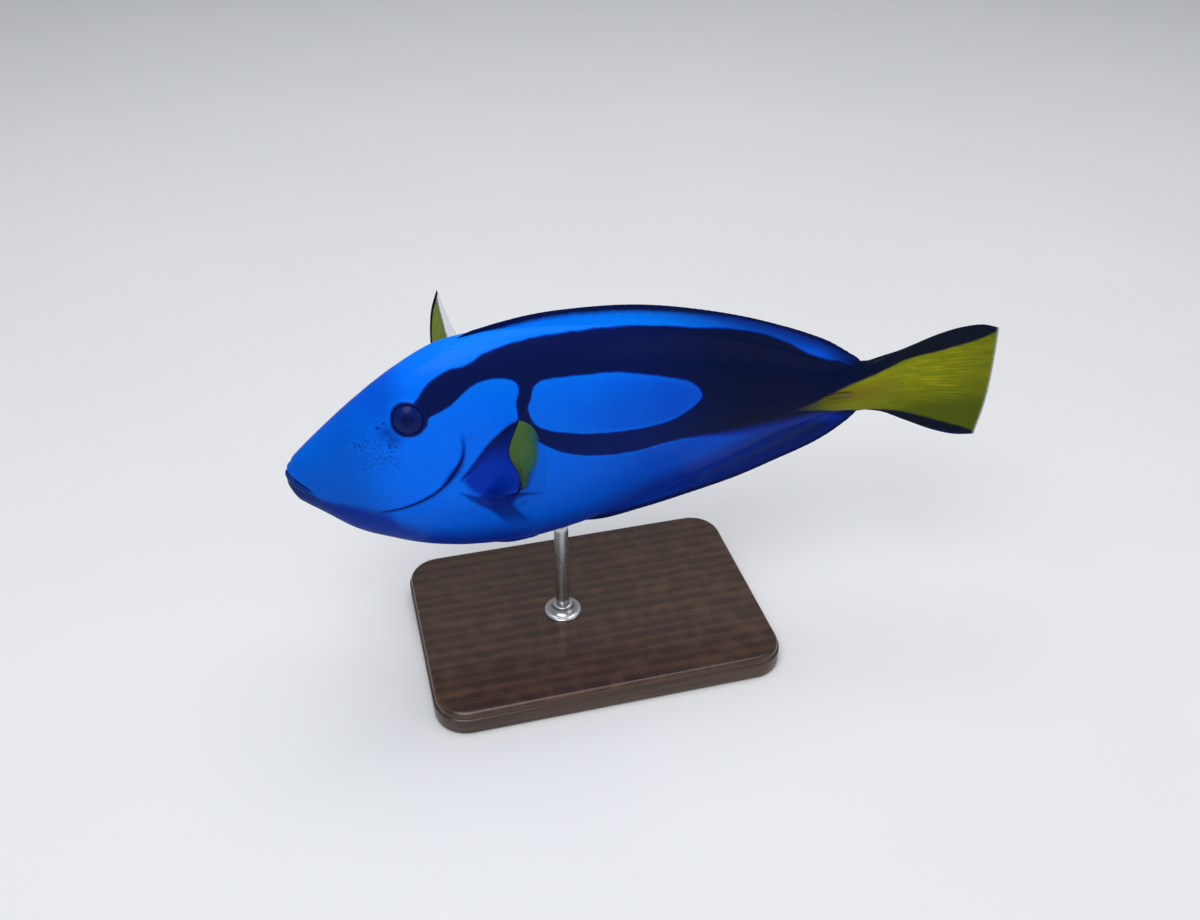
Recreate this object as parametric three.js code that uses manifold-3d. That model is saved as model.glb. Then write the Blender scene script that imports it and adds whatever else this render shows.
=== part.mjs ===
// A life-size display model of a regal blue tang, swimming level on a one-rod stand.
// Millimetres, +Z up. The fish faces -X, its left flank is towards -Y, and the stand rests on z = 0.
import * as THREE from "three";
import { mergeVertices } from "three/addons/utils/BufferGeometryUtils.js";
import Module from "manifold-3d";

const wasm = await Module();
wasm.setup();

// Driving sizes. Stations along the fish are distances from the snout tip, heights are from its long axis.
const AXIS_HEIGHT = 92; // the fish's long axis above the floor
const ORIGIN_STATION = 100; // the station that stands over the middle of the base
const BODY_END = 203; // where the tail stem ends and the tail fin begins
const SNOUT = -0.8; // where the snout begins: the upper lip stands a little ahead of the origin
const NOSE_ROUND = 3.4; // length of the rounded end of the snout
const GAP = 0.3; // space between neighbouring pieces
const RING_POINTS = 36;

// Outlines of the body, as station and value.
const BACK = [
  [0, 0.9], [6, 6.4], [16, 15], [26, 23], [36, 29.6], [49.5, 36.2], [60, 39], [75, 40.6], [90, 40],
  [105, 38.2], [120, 35.4], [138, 30.8], [155, 25.2], [170, 19.3], [184, 13.8], [195, 10.8], [204, 10.2],
];
const BELLY = [
  [0, -11.3], [4, -15.3], [8, -18.9], [19.5, -29.3], [33, -36.2], [50, -41.2], [66, -43.4], [80, -43.4], [94, -41.6],
  [108, -38.2], [122, -34.2], [140, -28.4], [157, -22], [172, -16], [187, -11.6], [196, -10.4], [204, -10.2],
];
const HALF_WIDTH = [
  [0, 4.6], [8, 7], [16, 8.6], [26, 10.6], [36, 12.4], [48, 14.2], [60, 15.2], [75, 15.4], [90, 14.6],
  [108, 12.8], [125, 10.8], [142, 8.8], [158, 7], [172, 5.6], [186, 4.7], [196, 4.2], [204, 3.4],
];
const WIDEST_HEIGHT = [[0, -4.5], [16, -4], [36, -1], [60, 1], [100, 2], [150, 1], [190, 0], [204, 0]];
const FULLNESS = [[0, 2.2], [30, 2.1], [60, 2], [120, 1.85], [204, 1.95]]; // 2 is an ellipse

// The tail swings a little to the fish's left.
const BEND_START = 178;
const BEND_END = 206;
const BEND_ANGLE = THREE.MathUtils.degToRad(10.5);

// The gill opening in side view, from above the nape to below the throat.
const GILL_LINE = [
  [49, 52], [51, 32], [54.4, 14], [56, 7.4], [55.3, 3], [52.2, -2.4], [47, -9], [40.2, -13.6],
  [33.5, -17], [25.3, -20.5], [17, -29], [12, -42],
];
const GILL_COVER_RISE = 0.7; // how far the gill cover stands out at its rear edge

// The line of the mouth in side view, from in front of the lips to below the chin.
const MOUTH_LINE = [[-4, 1.4], [0, -1.7], [2.6, -3.9], [5.2, -6.5], [8, -9.6], [9.6, -13.4], [8.8, -24]];
const MOUTH_CORNER = 5; // station of the mouth's corner
const MOUTH_HALF_WIDTH = 5.3; // at its corners
const UPPER_LIP = { radius: 1.7, sunk: 1.3 }; // radius at the front, and how deep its middle lies
const LOWER_LIP = { radius: 1.5, sunk: 1.2 };

const EYE = { station: 39.4, height: 18, radius: 5.3, depth: 3.3, sunk: 1.0, rim: 0.7 };
const NOSTRILS = [[29.4, 15.2, 0.8], [31.5, 16.8, 0.65]]; // station, height and radius
const STEM_CUT = 184; // station where the trunk ends and the tail stem begins

const MEMBRANE = 0.54; // thickness of a fin's web
const RAY_RISE = 0.34; // how far a ray stands out of the web on each side
const RAYS = { dorsal: 29, anal: 22, tail: 16, pectoral: 16, pelvic: 4 };
const RAY_SHARE = 0.56; // how much of the space from ray to ray the ray's ridge takes

const SKIN_BLUE = 0x0a5be0;
const DEEP_BLUE = 0x0a2f9c;
const NAVY = 0x0c1330;
const YELLOW = 0xd8c81a;

const clamp = THREE.MathUtils.clamp;
const smooth = THREE.MathUtils.smoothstep;
const vec = (x, y, z) => new THREE.Vector3(x, y, z);

// A smooth curve through [station, value] pairs.
function profile(points, x) {
  const last = points.length - 1;
  const at = clamp(x, points[0][0], points[last][0]);
  let i = 0;
  while (i < last - 1 && at > points[i + 1][0]) i++;
  const step = (k) => points[k + 1][0] - points[k][0];
  const slope = (k) => (points[k + 1][1] - points[k][1]) / step(k);
  const tangent = (k) => {
    if (k === 0) return slope(0);
    if (k === last) return slope(last - 1);
    return (slope(k - 1) * step(k) + slope(k) * step(k - 1)) / (step(k - 1) + step(k));
  };
  const h = step(i);
  const t = (at - points[i][0]) / h;
  const t2 = t * t;
  const t3 = t2 * t;
  const ends = (2 * t3 - 3 * t2 + 1) * points[i][1] + (3 * t2 - 2 * t3) * points[i + 1][1];
  return ends + (t3 - 2 * t2 + t) * h * tangent(i) + (t3 - t2) * h * tangent(i + 1);
}

// Carries a point of the straight fish to the swinging tail.
function bend(p) {
  if (p.x <= BEND_START) return p;
  const radius = (BEND_END - BEND_START) / BEND_ANGLE;
  const turn = (Math.min(p.x, BEND_END) - BEND_START) / radius;
  const beyond = Math.max(0, p.x - BEND_END);
  const x = BEND_START + radius * Math.sin(turn) + beyond * Math.cos(turn) + p.y * Math.sin(turn);
  const y = -radius * (1 - Math.cos(turn)) - beyond * Math.sin(turn) + p.y * Math.cos(turn);
  return vec(x, y, p.z);
}

// The body's section at a station: its middle, top, bottom and half width.
function section(x, grow = 0) {
  const round = 1 - clamp((x + grow - SNOUT) / (NOSE_ROUND + grow), 0, 1);
  const cap = Math.sqrt(1 - round * round);
  const middle = profile(WIDEST_HEIGHT, x);
  return {
    middle,
    top: middle + (profile(BACK, x) + grow - middle) * cap,
    bottom: middle + (profile(BELLY, x) - grow - middle) * cap,
    half: (profile(HALF_WIDTH, x) + grow) * cap,
    power: profile(FULLNESS, x),
  };
}

function bodyPoint(x, angle, grow, rise) {
  const s = section(x, grow);
  const side = Math.cos(angle);
  const up = Math.sin(angle);
  const reach = Math.abs(up) ** (2 / s.power);
  const out = Math.sign(side) * (s.half * Math.abs(side) ** (2 / s.power) + rise * Math.abs(side));
  const z = up >= 0 ? s.middle + (s.top - s.middle) * reach : s.middle - (s.middle - s.bottom) * reach;
  return bend(vec(x, out, z));
}

// How far the flank is from the middle plane at a station and height.
function flank(x, z) {
  const s = section(x);
  const share = z > s.middle ? (z - s.middle) / (s.top - s.middle) : (s.middle - z) / (s.middle - s.bottom);
  return s.half * Math.max(0, 1 - Math.abs(share) ** s.power) ** (1 / s.power);
}

function flankNormal(x, z) {
  const d = 0.5;
  const alongX = (flank(x + d, z) - flank(x - d, z)) / (2 * d);
  const alongZ = (flank(x, z + d) - flank(x, z - d)) / (2 * d);
  return vec(-alongX, 1, -alongZ).normalize(); // for the right flank
}

// A closed mesh from vertices and the triangles that join them.
function meshOf(points, faces) {
  const geometry = new THREE.BufferGeometry();
  geometry.setAttribute("position", new THREE.Float32BufferAttribute(points.flatMap((p) => [p.x, p.y, p.z]), 3));
  geometry.setIndex(faces.flat());
  return geometry;
}

// The body as rings of points, closed by a point at the snout and a flat face at the end.
function bodyGeometry({ from = SNOUT, to = BODY_END, steps, grow = 0, rise = () => 0 }) {
  const nose = from === SNOUT;
  const capRings = nose ? 3 : 0;
  const start = from - grow;
  const capEnd = start + (nose ? NOSE_ROUND + grow : 0);
  const points = [];
  const faces = [];
  const stations = [];
  for (let i = 1; i <= capRings; i++) {
    stations.push(start + (capEnd - start) * (1 - Math.cos(((i / capRings) * Math.PI) / 2)));
  }
  for (let i = nose ? 1 : 0; i <= steps; i++) {
    stations.push(capEnd + (to - capEnd) * (i / steps) ** (nose ? 1.15 : 1));
  }
  for (const x of stations) {
    for (let j = 0; j < RING_POINTS; j++) {
      points.push(bodyPoint(x, (j / RING_POINTS) * 2 * Math.PI, grow, rise(x)));
    }
  }
  for (let i = 0; i + 1 < stations.length; i++) {
    for (let j = 0; j < RING_POINTS; j++) {
      const a = i * RING_POINTS + j;
      const b = i * RING_POINTS + ((j + 1) % RING_POINTS);
      faces.push([a, b, b + RING_POINTS], [a, b + RING_POINTS, a + RING_POINTS]);
    }
  }
  const first = points.length;
  points.push(bend(vec(start, 0, section(from).middle)));
  points.push(bend(vec(to, 0, section(to).middle)));
  const lastRing = (stations.length - 1) * RING_POINTS;
  for (let j = 0; j < RING_POINTS; j++) {
    const k = (j + 1) % RING_POINTS;
    faces.push([first, k, j], [first + 1, lastRing + j, lastRing + k]);
  }
  return meshOf(points, faces);
}

// Solids for joining and cutting.
function solid(geometry) {
  const bare = geometry.index ? geometry.toNonIndexed() : geometry.clone();
  for (const name of Object.keys(bare.attributes)) {
    if (name !== "position") bare.deleteAttribute(name);
  }
  const merged = mergeVertices(bare, 1e-4);
  const mesh = new wasm.Mesh({
    numProp: 3,
    vertProperties: merged.attributes.position.array,
    triVerts: new Uint32Array(merged.index.array),
  });
  return new wasm.Manifold(mesh);
}

function geometryOf(made) {
  const mesh = made.getMesh();
  const geometry = new THREE.BufferGeometry();
  const positions = [];
  for (let i = 0; i < mesh.numVert; i++) {
    positions.push(...mesh.vertProperties.subarray(i * mesh.numProp, i * mesh.numProp + 3));
  }
  geometry.setAttribute("position", new THREE.Float32BufferAttribute(positions, 3));
  geometry.setIndex(Array.from(mesh.triVerts));
  geometry.computeVertexNormals();
  return geometry;
}

function largest(made) {
  return made.decompose().reduce((best, piece) => (piece.volume() > best.volume() ? piece : best));
}

function foremost(made) {
  const pieces = made.decompose().filter((piece) => piece.volume() > 20);
  return pieces.reduce((best, piece) => (piece.boundingBox().min[0] < best.boundingBox().min[0] ? piece : best));
}

// An upright slab across the fish that follows a line in side view.
function slab(line, thickness, halfReach) {
  const curve = new THREE.SplineCurve(line.map(([x, z]) => new THREE.Vector2(x, z)));
  const count = line.length * 3;
  const left = [];
  const right = [];
  for (let i = 0; i <= count; i++) {
    const p = curve.getPoint(i / count);
    const t = curve.getTangent(i / count);
    left.push(new THREE.Vector2(p.x - (t.y * thickness) / 2, p.y + (t.x * thickness) / 2));
    right.push(new THREE.Vector2(p.x + (t.y * thickness) / 2, p.y - (t.x * thickness) / 2));
  }
  const shape = new THREE.Shape([...left, ...right.reverse()]);
  const geometry = new THREE.ExtrudeGeometry(shape, { depth: 2 * halfReach, bevelEnabled: false });
  geometry.rotateX(Math.PI / 2);
  geometry.translate(0, halfReach, 0);
  return solid(geometry);
}

// A closed tube along a curve, with a radius that changes on the way.
function taperedTube(curve, radiusAt, steps, sides) {
  const frames = curve.computeFrenetFrames(steps, false);
  const points = [];
  const faces = [];
  for (let i = 0; i <= steps; i++) {
    const centre = curve.getPointAt(i / steps);
    for (let j = 0; j < sides; j++) {
      const angle = (j / sides) * 2 * Math.PI;
      const arm = frames.normals[i].clone().multiplyScalar(Math.cos(angle) * radiusAt(i / steps));
      arm.addScaledVector(frames.binormals[i], Math.sin(angle) * radiusAt(i / steps));
      points.push(centre.clone().add(arm));
    }
  }
  for (let i = 0; i < steps; i++) {
    for (let j = 0; j < sides; j++) {
      const a = i * sides + j;
      const b = i * sides + ((j + 1) % sides);
      faces.push([a, b, b + sides], [a, b + sides, a + sides]);
    }
  }
  const last = steps * sides;
  for (let j = 2; j < sides; j++) faces.push([0, j, j - 1], [last, last + j - 1, last + j]);
  return solid(meshOf(points, faces));
}

function ball(radius, scale, centre, normal, segments = 20) {
  const geometry = new THREE.SphereGeometry(radius, segments, segments / 2);
  geometry.scale(...scale);
  geometry.applyQuaternion(new THREE.Quaternion().setFromUnitVectors(vec(0, 0, 1), normal));
  geometry.translate(centre.x, centre.y, centre.z);
  return solid(geometry);
}

// Where an eye sits: side is -1 for the left and 1 for the right.
function eyePlace(side) {
  const normal = flankNormal(EYE.station, EYE.height);
  normal.y *= side;
  const centre = vec(EYE.station, side * flank(EYE.station, EYE.height), EYE.height);
  return { centre: centre.addScaledVector(normal, -EYE.sunk), normal };
}

function eyeball(side, grow = 0) {
  const { centre, normal } = eyePlace(side);
  const deep = (EYE.depth + grow) / (EYE.radius + grow);
  return ball(EYE.radius + grow, [1, 1, deep], centre, normal);
}

function eyeRim(side) {
  const { centre, normal } = eyePlace(side);
  const ring = new THREE.TorusGeometry(EYE.radius + EYE.rim * 0.6, EYE.rim, 6, 20);
  ring.applyQuaternion(new THREE.Quaternion().setFromUnitVectors(vec(0, 0, 1), normal));
  const out = centre.clone().addScaledVector(normal, EYE.sunk - EYE.rim * 0.5);
  ring.translate(out.x, out.y, out.z);
  return solid(ring);
}

// A lip runs round the snout from one corner of the mouth to the other, above or below the mouth's line.
function lip({ radius, sunk }, side) {
  const mouth = MOUTH_LINE.slice(0, 4);
  const points = [];
  for (let i = -6; i <= 6; i++) {
    const turn = (i / 6) * (Math.PI / 2);
    const x = MOUTH_CORNER - (MOUTH_CORNER - SNOUT - sunk) * Math.cos(turn);
    const y = (MOUTH_HALF_WIDTH - sunk / 2) * Math.sin(turn);
    points.push(vec(x, y, profile(mouth, x) + side * radius * 0.9));
  }
  const curve = new THREE.CatmullRomCurve3(points, false, "centripetal");
  return taperedTube(curve, (t) => radius * (0.35 + 0.65 * Math.sin(Math.PI * t)), 18, 10);
}

function coverRise(x) {
  return GILL_COVER_RISE * smooth(x, 30, 54);
}

function headAndJaw() {
  const reach = 40;
  const mouth = slab(MOUTH_LINE, GAP, reach);
  let whole = solid(bodyGeometry({ to: 72, steps: 18, rise: coverRise }));
  whole = foremost(whole.subtract(slab(GILL_LINE, GAP, reach)));
  const pieces = whole
    .subtract(mouth)
    .decompose()
    .sort((a, b) => b.volume() - a.volume());
  let head = pieces[0].add(lip(UPPER_LIP, 1));
  let jaw = pieces[1].add(lip(LOWER_LIP, -1));
  for (const side of [-1, 1]) {
    head = head.add(eyeRim(side)).subtract(eyeball(side, GAP));
    for (const [x, z, radius] of NOSTRILS) {
      head = head.subtract(ball(radius, [1, 1, 1.4], vec(x, side * flank(x, z), z), flankNormal(x, z), 10));
    }
  }
  head = largest(head.subtract(mouth));
  jaw = largest(jaw.subtract(mouth));
  return { head, jaw };
}

function trunkAndStem() {
  const whole = solid(bodyGeometry({ from: 10, steps: 33 }));
  const cut = slab([[STEM_CUT, 40], [STEM_CUT, -40]], GAP, 30);
  const pieces = whole
    .subtract(slab(GILL_LINE, GAP, 40))
    .subtract(cut)
    .decompose()
    .sort((a, b) => b.volume() - a.volume());
  const stem = pieces.find((piece) => piece.boundingBox().min[0] > STEM_CUT - 1);
  return { trunk: pieces[0], stem };
}

// Columns across a fin: each ray is a ridge, with a strip of web between it and the next.
function rayColumns(count) {
  const side = RAY_SHARE / 2;
  const columns = [{ u: 0, ridge: 0 }];
  for (let i = 0; i < count; i++) {
    columns.push({ u: (i + 0.5 - side) / count, ridge: 0 });
    columns.push({ u: (i + 0.5) / count, ridge: 1 });
    columns.push({ u: (i + 0.5 + side) / count, ridge: 0 });
  }
  columns.push({ u: 1, ridge: 0 });
  return columns;
}

// A fin: a middle surface from root (v = 0) to edge (v = 1), thickened to both sides alike.
function fin(surface, halfThickness, rays, rows) {
  const columns = rayColumns(rays);
  const d = 1e-3;
  const at = (u, v) => bend(surface(u, v));
  const normalAt = (u, v) => {
    const u0 = clamp(u - d, 0, 1);
    const u1 = clamp(u + d, 0, 1);
    const v0 = clamp(v - d, 0, 1);
    const v1 = clamp(v + d, 0, 1);
    const across = at(u1, v).sub(at(u0, v));
    const along = at(u, v1).sub(at(u, v0));
    return across.cross(along).normalize();
  };
  const points = [[], []];
  for (const { u, ridge } of columns) {
    for (let j = 0; j <= rows; j++) {
      const v = j / rows;
      const middle = at(u, v);
      const offset = normalAt(u, v).multiplyScalar(halfThickness(u, v, ridge));
      points[0].push(middle.clone().add(offset));
      points[1].push(middle.clone().sub(offset));
    }
  }
  const count = points[0].length;
  const width = rows + 1;
  const faces = [];
  const quad = (a, b, c, e) => faces.push([a, b, c], [a, c, e]);
  for (let i = 0; i + 1 < columns.length; i++) {
    for (let j = 0; j < rows; j++) {
      const a = i * width + j;
      const b = a + width;
      quad(a, b, b + 1, a + 1);
      faces.push([count + a, count + b + 1, count + b], [count + a, count + a + 1, count + b + 1]);
    }
    const near = i * width;
    const far = near + width;
    quad(near, count + near, count + far, far);
    quad(near + rows, far + rows, count + far + rows, count + near + rows);
  }
  const lastColumn = (columns.length - 1) * width;
  for (let j = 0; j < rows; j++) {
    quad(j, j + 1, count + j + 1, count + j);
    quad(lastColumn + j, count + lastColumn + j, count + lastColumn + j + 1, lastColumn + j + 1);
  }
  return solid(meshOf([...points[0], ...points[1]], faces));
}

const webHalf = MEMBRANE / 2;

// Fins along the middle plane: a root line sunk in the body and an edge line, as station and height.
function middleFin({ root, edge, lean, rays, rows, rootHalf }) {
  const surface = (u, v) => {
    const x = root.from + (root.to - root.from) * u;
    const edgeX = x + profile(lean, u);
    const low = root.height(x);
    return vec(x + (edgeX - x) * v, 0, low + (profile(edge, edgeX) - low) * v);
  };
  const half = (u, v, ridge) => {
    const flesh = (rootHalf - webHalf) * (1 - smooth(v, 0.15, 0.6));
    return webHalf + flesh + ridge * RAY_RISE * (1 - 0.6 * v);
  };
  return fin(surface, half, rays, rows);
}

const DORSAL_EDGE = [
  [54, 36], [60, 39.8], [67, 41.7], [74, 43], [80, 43.9], [87, 44.4], [95, 44.4], [103, 44.1], [112, 43.4],
  [121, 42.2], [136, 39], [151, 34.6], [167, 28.6], [179, 23.2], [190, 16.8], [196, 13], [200, 10.6],
];
const ANAL_EDGE = [
  [96, -41.4], [104, -41.4], [119, -38.9], [142, -34.6], [157, -30.8], [172, -26], [188, -19.8], [195, -16],
  [199, -13.2],
];

function dorsalFin() {
  return middleFin({
    root: { from: 55, to: 188, height: (x) => profile(BACK, x) - 2.5 },
    edge: DORSAL_EDGE,
    lean: [[0, 1.5], [0.25, 6], [0.6, 10], [1, 11.4]],
    rays: RAYS.dorsal,
    rows: 3,
    rootHalf: 1.5,
  });
}

function analFin() {
  return middleFin({
    root: { from: 98, to: 187, height: (x) => profile(BELLY, x) + 2.5 },
    edge: ANAL_EDGE,
    lean: [[0, 1.5], [0.3, 6], [0.7, 10], [1, 11.6]],
    rays: RAYS.anal,
    rows: 3,
    rootHalf: 1.5,
  });
}

// The tail fin, from its fleshy root against the tail stem to its straight rear edge.
const TAIL_TOP = [[203, 9.9], [206, 12.4], [216, 16.4], [225, 20], [234, 22.7], [241, 23.3], [246.4, 22]];
const TAIL_BOTTOM = [[203, -9.9], [209, -11], [218, -14.9], [230, -20.1], [238, -22.4], [245.6, -22.8]];

function tailFin() {
  const start = BODY_END + GAP;
  const rear = (u) => 245.8 + 1.5 * Math.sin(Math.PI * u) + 0.8 * u;
  const surface = (u, v) => {
    const x = start + (rear(u) - start) * v;
    const low = profile(TAIL_BOTTOM, x);
    const high = profile(TAIL_TOP, x);
    return vec(x, 0, low + (high - low) * u);
  };
  const stem = section(BODY_END);
  const half = (u, v, ridge) => {
    const side = Math.sqrt(Math.max(0, 1 - (2 * u - 1) ** 2));
    const flesh = stem.half * 0.96 * side * (1 - smooth(v, 0, 0.34));
    const border = u < 0.06 || u > 0.94 ? 0.25 : 0;
    return webHalf + flesh + (ridge * RAY_RISE + border) * (1 - 0.5 * v);
  };
  return fin(surface, half, RAYS.tail, 8);
}

// A patch between four curves: leading and trailing rays, root and outer edge.
function patch(leading, trailing, outer) {
  const curve = (points) => new THREE.CatmullRomCurve3(points.map((p) => vec(...p)), false, "centripetal");
  const front = curve(leading);
  const back = curve(trailing);
  const rim = curve([leading.at(-1), ...outer, trailing.at(-1)]);
  const rootStart = vec(...leading[0]);
  const rootEnd = vec(...trailing[0]);
  const tipStart = vec(...leading.at(-1));
  const tipEnd = vec(...trailing.at(-1));
  return (u, v) => {
    const rays = front.getPoint(v).multiplyScalar(1 - u).addScaledVector(back.getPoint(v), u);
    const ends = rootStart.clone().lerp(rootEnd, u).multiplyScalar(1 - v).addScaledVector(rim.getPoint(u), v);
    const inner = rootStart.clone().lerp(rootEnd, u);
    const corners = inner.lerp(tipStart.clone().lerp(tipEnd, u), v);
    return rays.add(ends).sub(corners);
  };
}

const PECTORALS = {
  left: patch(
    [[55.5, -9, -11], [62.5, -17, -12], [70.5, -22.5, -8.5], [71, -27.5, 2], [67, -32, 15], [69.6, -37.5, 30]],
    [[61, -9, -20.5], [69, -17, -18.5], [78.4, -25.5, -8.5]],
    [[73.4, -38, 27.5], [78, -35.5, 14], [79, -30.5, 1]],
  ),
  right: patch(
    [[55.5, 9, -11], [55.4, 17.5, -5], [53.6, 25, 8], [52.6, 30.5, 20.5], [54.2, 35, 31], [57, 38, 37.2]],
    [[61, 9, -20.5], [66, 17, -17], [75, 25.5, -5]],
    [[61.6, 33, 23], [69, 30, 8]],
  ),
};

function pectoralFin(side) {
  const half = (u, v, ridge) => {
    const flesh = 1.5 * (1 - smooth(v, 0.12, 0.4)) * Math.sqrt(Math.max(0, 1 - (2 * u - 1) ** 2));
    const leadingRay = 0.45 * (1 - smooth(u, 0, 0.08)) * (1 - 0.7 * v);
    return webHalf + flesh + leadingRay + ridge * RAY_RISE * (1 - 0.6 * v);
  };
  return fin(PECTORALS[side], half, RAYS.pectoral, 7);
}

function pelvicFin(side) {
  const surface = patch(
    [[59, 3 * side, -39], [69, 4.2 * side, -44.6], [82, 4 * side, -45.4]],
    [[63, 5 * side, -37], [70, 6.6 * side, -40.6], [78, 6.2 * side, -42.3]],
    [[80.5, 5.2 * side, -43.8]],
  );
  const half = (u, v, ridge) => webHalf + 0.5 * (1 - smooth(v, 0.1, 0.5)) + ridge * RAY_RISE * (1 - 0.6 * v);
  return fin(surface, half, RAYS.pelvic, 5);
}

// The folding blade in each side of the tail stem lies in a groove, point forward.
const BLADE = { from: 185.5, to: 196.5, height: -0.6, tall: 2.6, half: 0.9, sunk: 0.35 };

function blade(side, grow = 0) {
  const length = BLADE.to - BLADE.from + 2 * grow;
  const tall = BLADE.tall / 2 + grow;
  const outline = new THREE.Shape();
  outline.moveTo(-length / 2, 0);
  outline.quadraticCurveTo(-length / 6, tall, length / 2, tall * 0.7);
  outline.lineTo(length / 2, -tall * 0.7);
  outline.quadraticCurveTo(-length / 6, -tall, -length / 2, 0);
  const depth = 2 * (BLADE.half + grow);
  const geometry = new THREE.ExtrudeGeometry(outline, { depth, bevelEnabled: false, curveSegments: 6 });
  geometry.translate(0, 0, -depth / 2);
  geometry.rotateX(Math.PI / 2);
  const middle = (BLADE.from + BLADE.to) / 2;
  const centre = bend(vec(middle, side * (flank(middle, BLADE.height) - BLADE.sunk), BLADE.height));
  const before = bend(vec(BLADE.from, side * flank(BLADE.from, BLADE.height), BLADE.height));
  const after = bend(vec(BLADE.to, side * flank(BLADE.to, BLADE.height), BLADE.height));
  geometry.rotateZ(Math.atan2(after.y - before.y, after.x - before.x));
  geometry.translate(centre.x, centre.y, centre.z);
  return solid(geometry);
}

// The stand: a bevelled base plate with a boss, and one rod up to the belly.
const BASE = { length: 128, width: 88, height: 9, corner: 12, bevel: 1.5 };
const ROD = { station: 90, radius: 2.6, boss: 7, bossHeight: 4 };

function standBase() {
  const { length, width, corner, bevel } = BASE;
  const shape = new THREE.Shape();
  const x = length / 2 - bevel;
  const y = width / 2 - bevel;
  shape.absarc(x - corner, y - corner, corner, 0, Math.PI / 2);
  shape.absarc(corner - x, y - corner, corner, Math.PI / 2, Math.PI);
  shape.absarc(corner - x, corner - y, corner, Math.PI, 1.5 * Math.PI);
  shape.absarc(x - corner, corner - y, corner, 1.5 * Math.PI, 2 * Math.PI);
  const plate = new THREE.ExtrudeGeometry(shape, {
    depth: BASE.height - 2 * bevel,
    bevelEnabled: true,
    bevelThickness: bevel,
    bevelSize: bevel,
    bevelSegments: 1,
    curveSegments: 5,
  });
  plate.translate(ORIGIN_STATION, 0, bevel - AXIS_HEIGHT);
  const ring = [
    [0, -2], [ROD.boss, -2], [ROD.boss, 1.6], [ROD.radius + 1.4, ROD.bossHeight], [0, ROD.bossHeight],
  ];
  const boss = new THREE.LatheGeometry(ring.map(([r, z]) => new THREE.Vector2(r, z)), 16);
  boss.rotateX(Math.PI / 2);
  boss.translate(ROD.station, 0, BASE.height - AXIS_HEIGHT);
  return solid(plate).add(solid(boss));
}

function standRod(body) {
  const bottom = BASE.height + ROD.bossHeight + GAP - AXIS_HEIGHT;
  const height = section(ROD.station).bottom + 6 - bottom;
  const rod = new THREE.CylinderGeometry(ROD.radius, ROD.radius, height, 16);
  rod.rotateX(Math.PI / 2);
  rod.translate(ROD.station, 0, bottom + height / 2);
  return largest(solid(rod).subtract(body));
}

// The whole model.
const model = new THREE.Group();
model.position.set(-ORIGIN_STATION, 0, AXIS_HEIGHT);

function place(name, made, color, roughness = 0.45, metalness = 0) {
  const mesh = new THREE.Mesh(geometryOf(made), new THREE.MeshStandardMaterial({ color, roughness, metalness }));
  mesh.name = name;
  model.add(mesh);
}

const clearBody = solid(bodyGeometry({ steps: 48, grow: GAP, to: BODY_END + GAP }));
const trimmed = (made) => largest(made.subtract(clearBody));

const { head, jaw } = headAndJaw();
place("head", head, SKIN_BLUE);
place("lower_jaw", jaw, SKIN_BLUE);

const { trunk, stem } = trunkAndStem();
let tailStem = stem;
for (const side of [-1, 1]) tailStem = tailStem.subtract(blade(side, GAP));
place("trunk", trunk, SKIN_BLUE);
place("tail_stem", tailStem, NAVY);

place("dorsal_fin", trimmed(dorsalFin()), SKIN_BLUE);
place("anal_fin", trimmed(analFin()), DEEP_BLUE);
place("tail_fin", tailFin(), YELLOW);

for (const [side, word] of [[-1, "left"], [1, "right"]]) {
  place("eye_" + word, eyeball(side), NAVY, 0.15);
  place("pectoral_fin_" + word, trimmed(pectoralFin(word)), YELLOW);
  place("pelvic_fin_" + word, trimmed(pelvicFin(side)), NAVY);
  place("tail_blade_" + word, largest(blade(side)), YELLOW, 0.3);
}

place("stand_base", standBase(), 0x2a1c14, 0.4);
place("stand_rod", standRod(clearBody), 0xb8bcc0, 0.25, 1);

export default model;
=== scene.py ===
"""A regal blue tang on a one-rod stand: the fine skin, fins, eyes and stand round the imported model.

Sizes are millimetres in the fish's own straight frame, as in the model's source: stations along the
fish are distances from the snout tip, heights are from its long axis, and the left flank is towards -Y.
to_model() carries a point to the shared frame, in metres.
"""
import math

import bpy
import numpy as np
from mathutils import Matrix, Vector


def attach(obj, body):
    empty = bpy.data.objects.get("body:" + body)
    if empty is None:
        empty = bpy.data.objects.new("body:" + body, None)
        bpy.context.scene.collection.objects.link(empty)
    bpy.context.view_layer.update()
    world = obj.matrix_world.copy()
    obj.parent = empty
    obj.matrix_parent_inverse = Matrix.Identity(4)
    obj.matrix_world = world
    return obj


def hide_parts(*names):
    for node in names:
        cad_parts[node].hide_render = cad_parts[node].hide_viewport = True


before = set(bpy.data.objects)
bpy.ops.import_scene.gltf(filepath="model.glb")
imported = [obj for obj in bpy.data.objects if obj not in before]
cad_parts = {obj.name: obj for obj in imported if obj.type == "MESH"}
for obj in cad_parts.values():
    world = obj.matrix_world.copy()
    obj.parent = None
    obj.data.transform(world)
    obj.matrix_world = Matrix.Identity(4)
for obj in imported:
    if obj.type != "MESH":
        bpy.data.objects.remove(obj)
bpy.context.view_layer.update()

BODY = "root"
MM = 0.001
AXIS_HEIGHT = 92
ORIGIN_STATION = 100
SNOUT = -0.8
NOSE_ROUND = 3.4
BODY_END = 203
TAIL_ROOT_END = 217.5
SKIN_POINTS = 440

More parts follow.
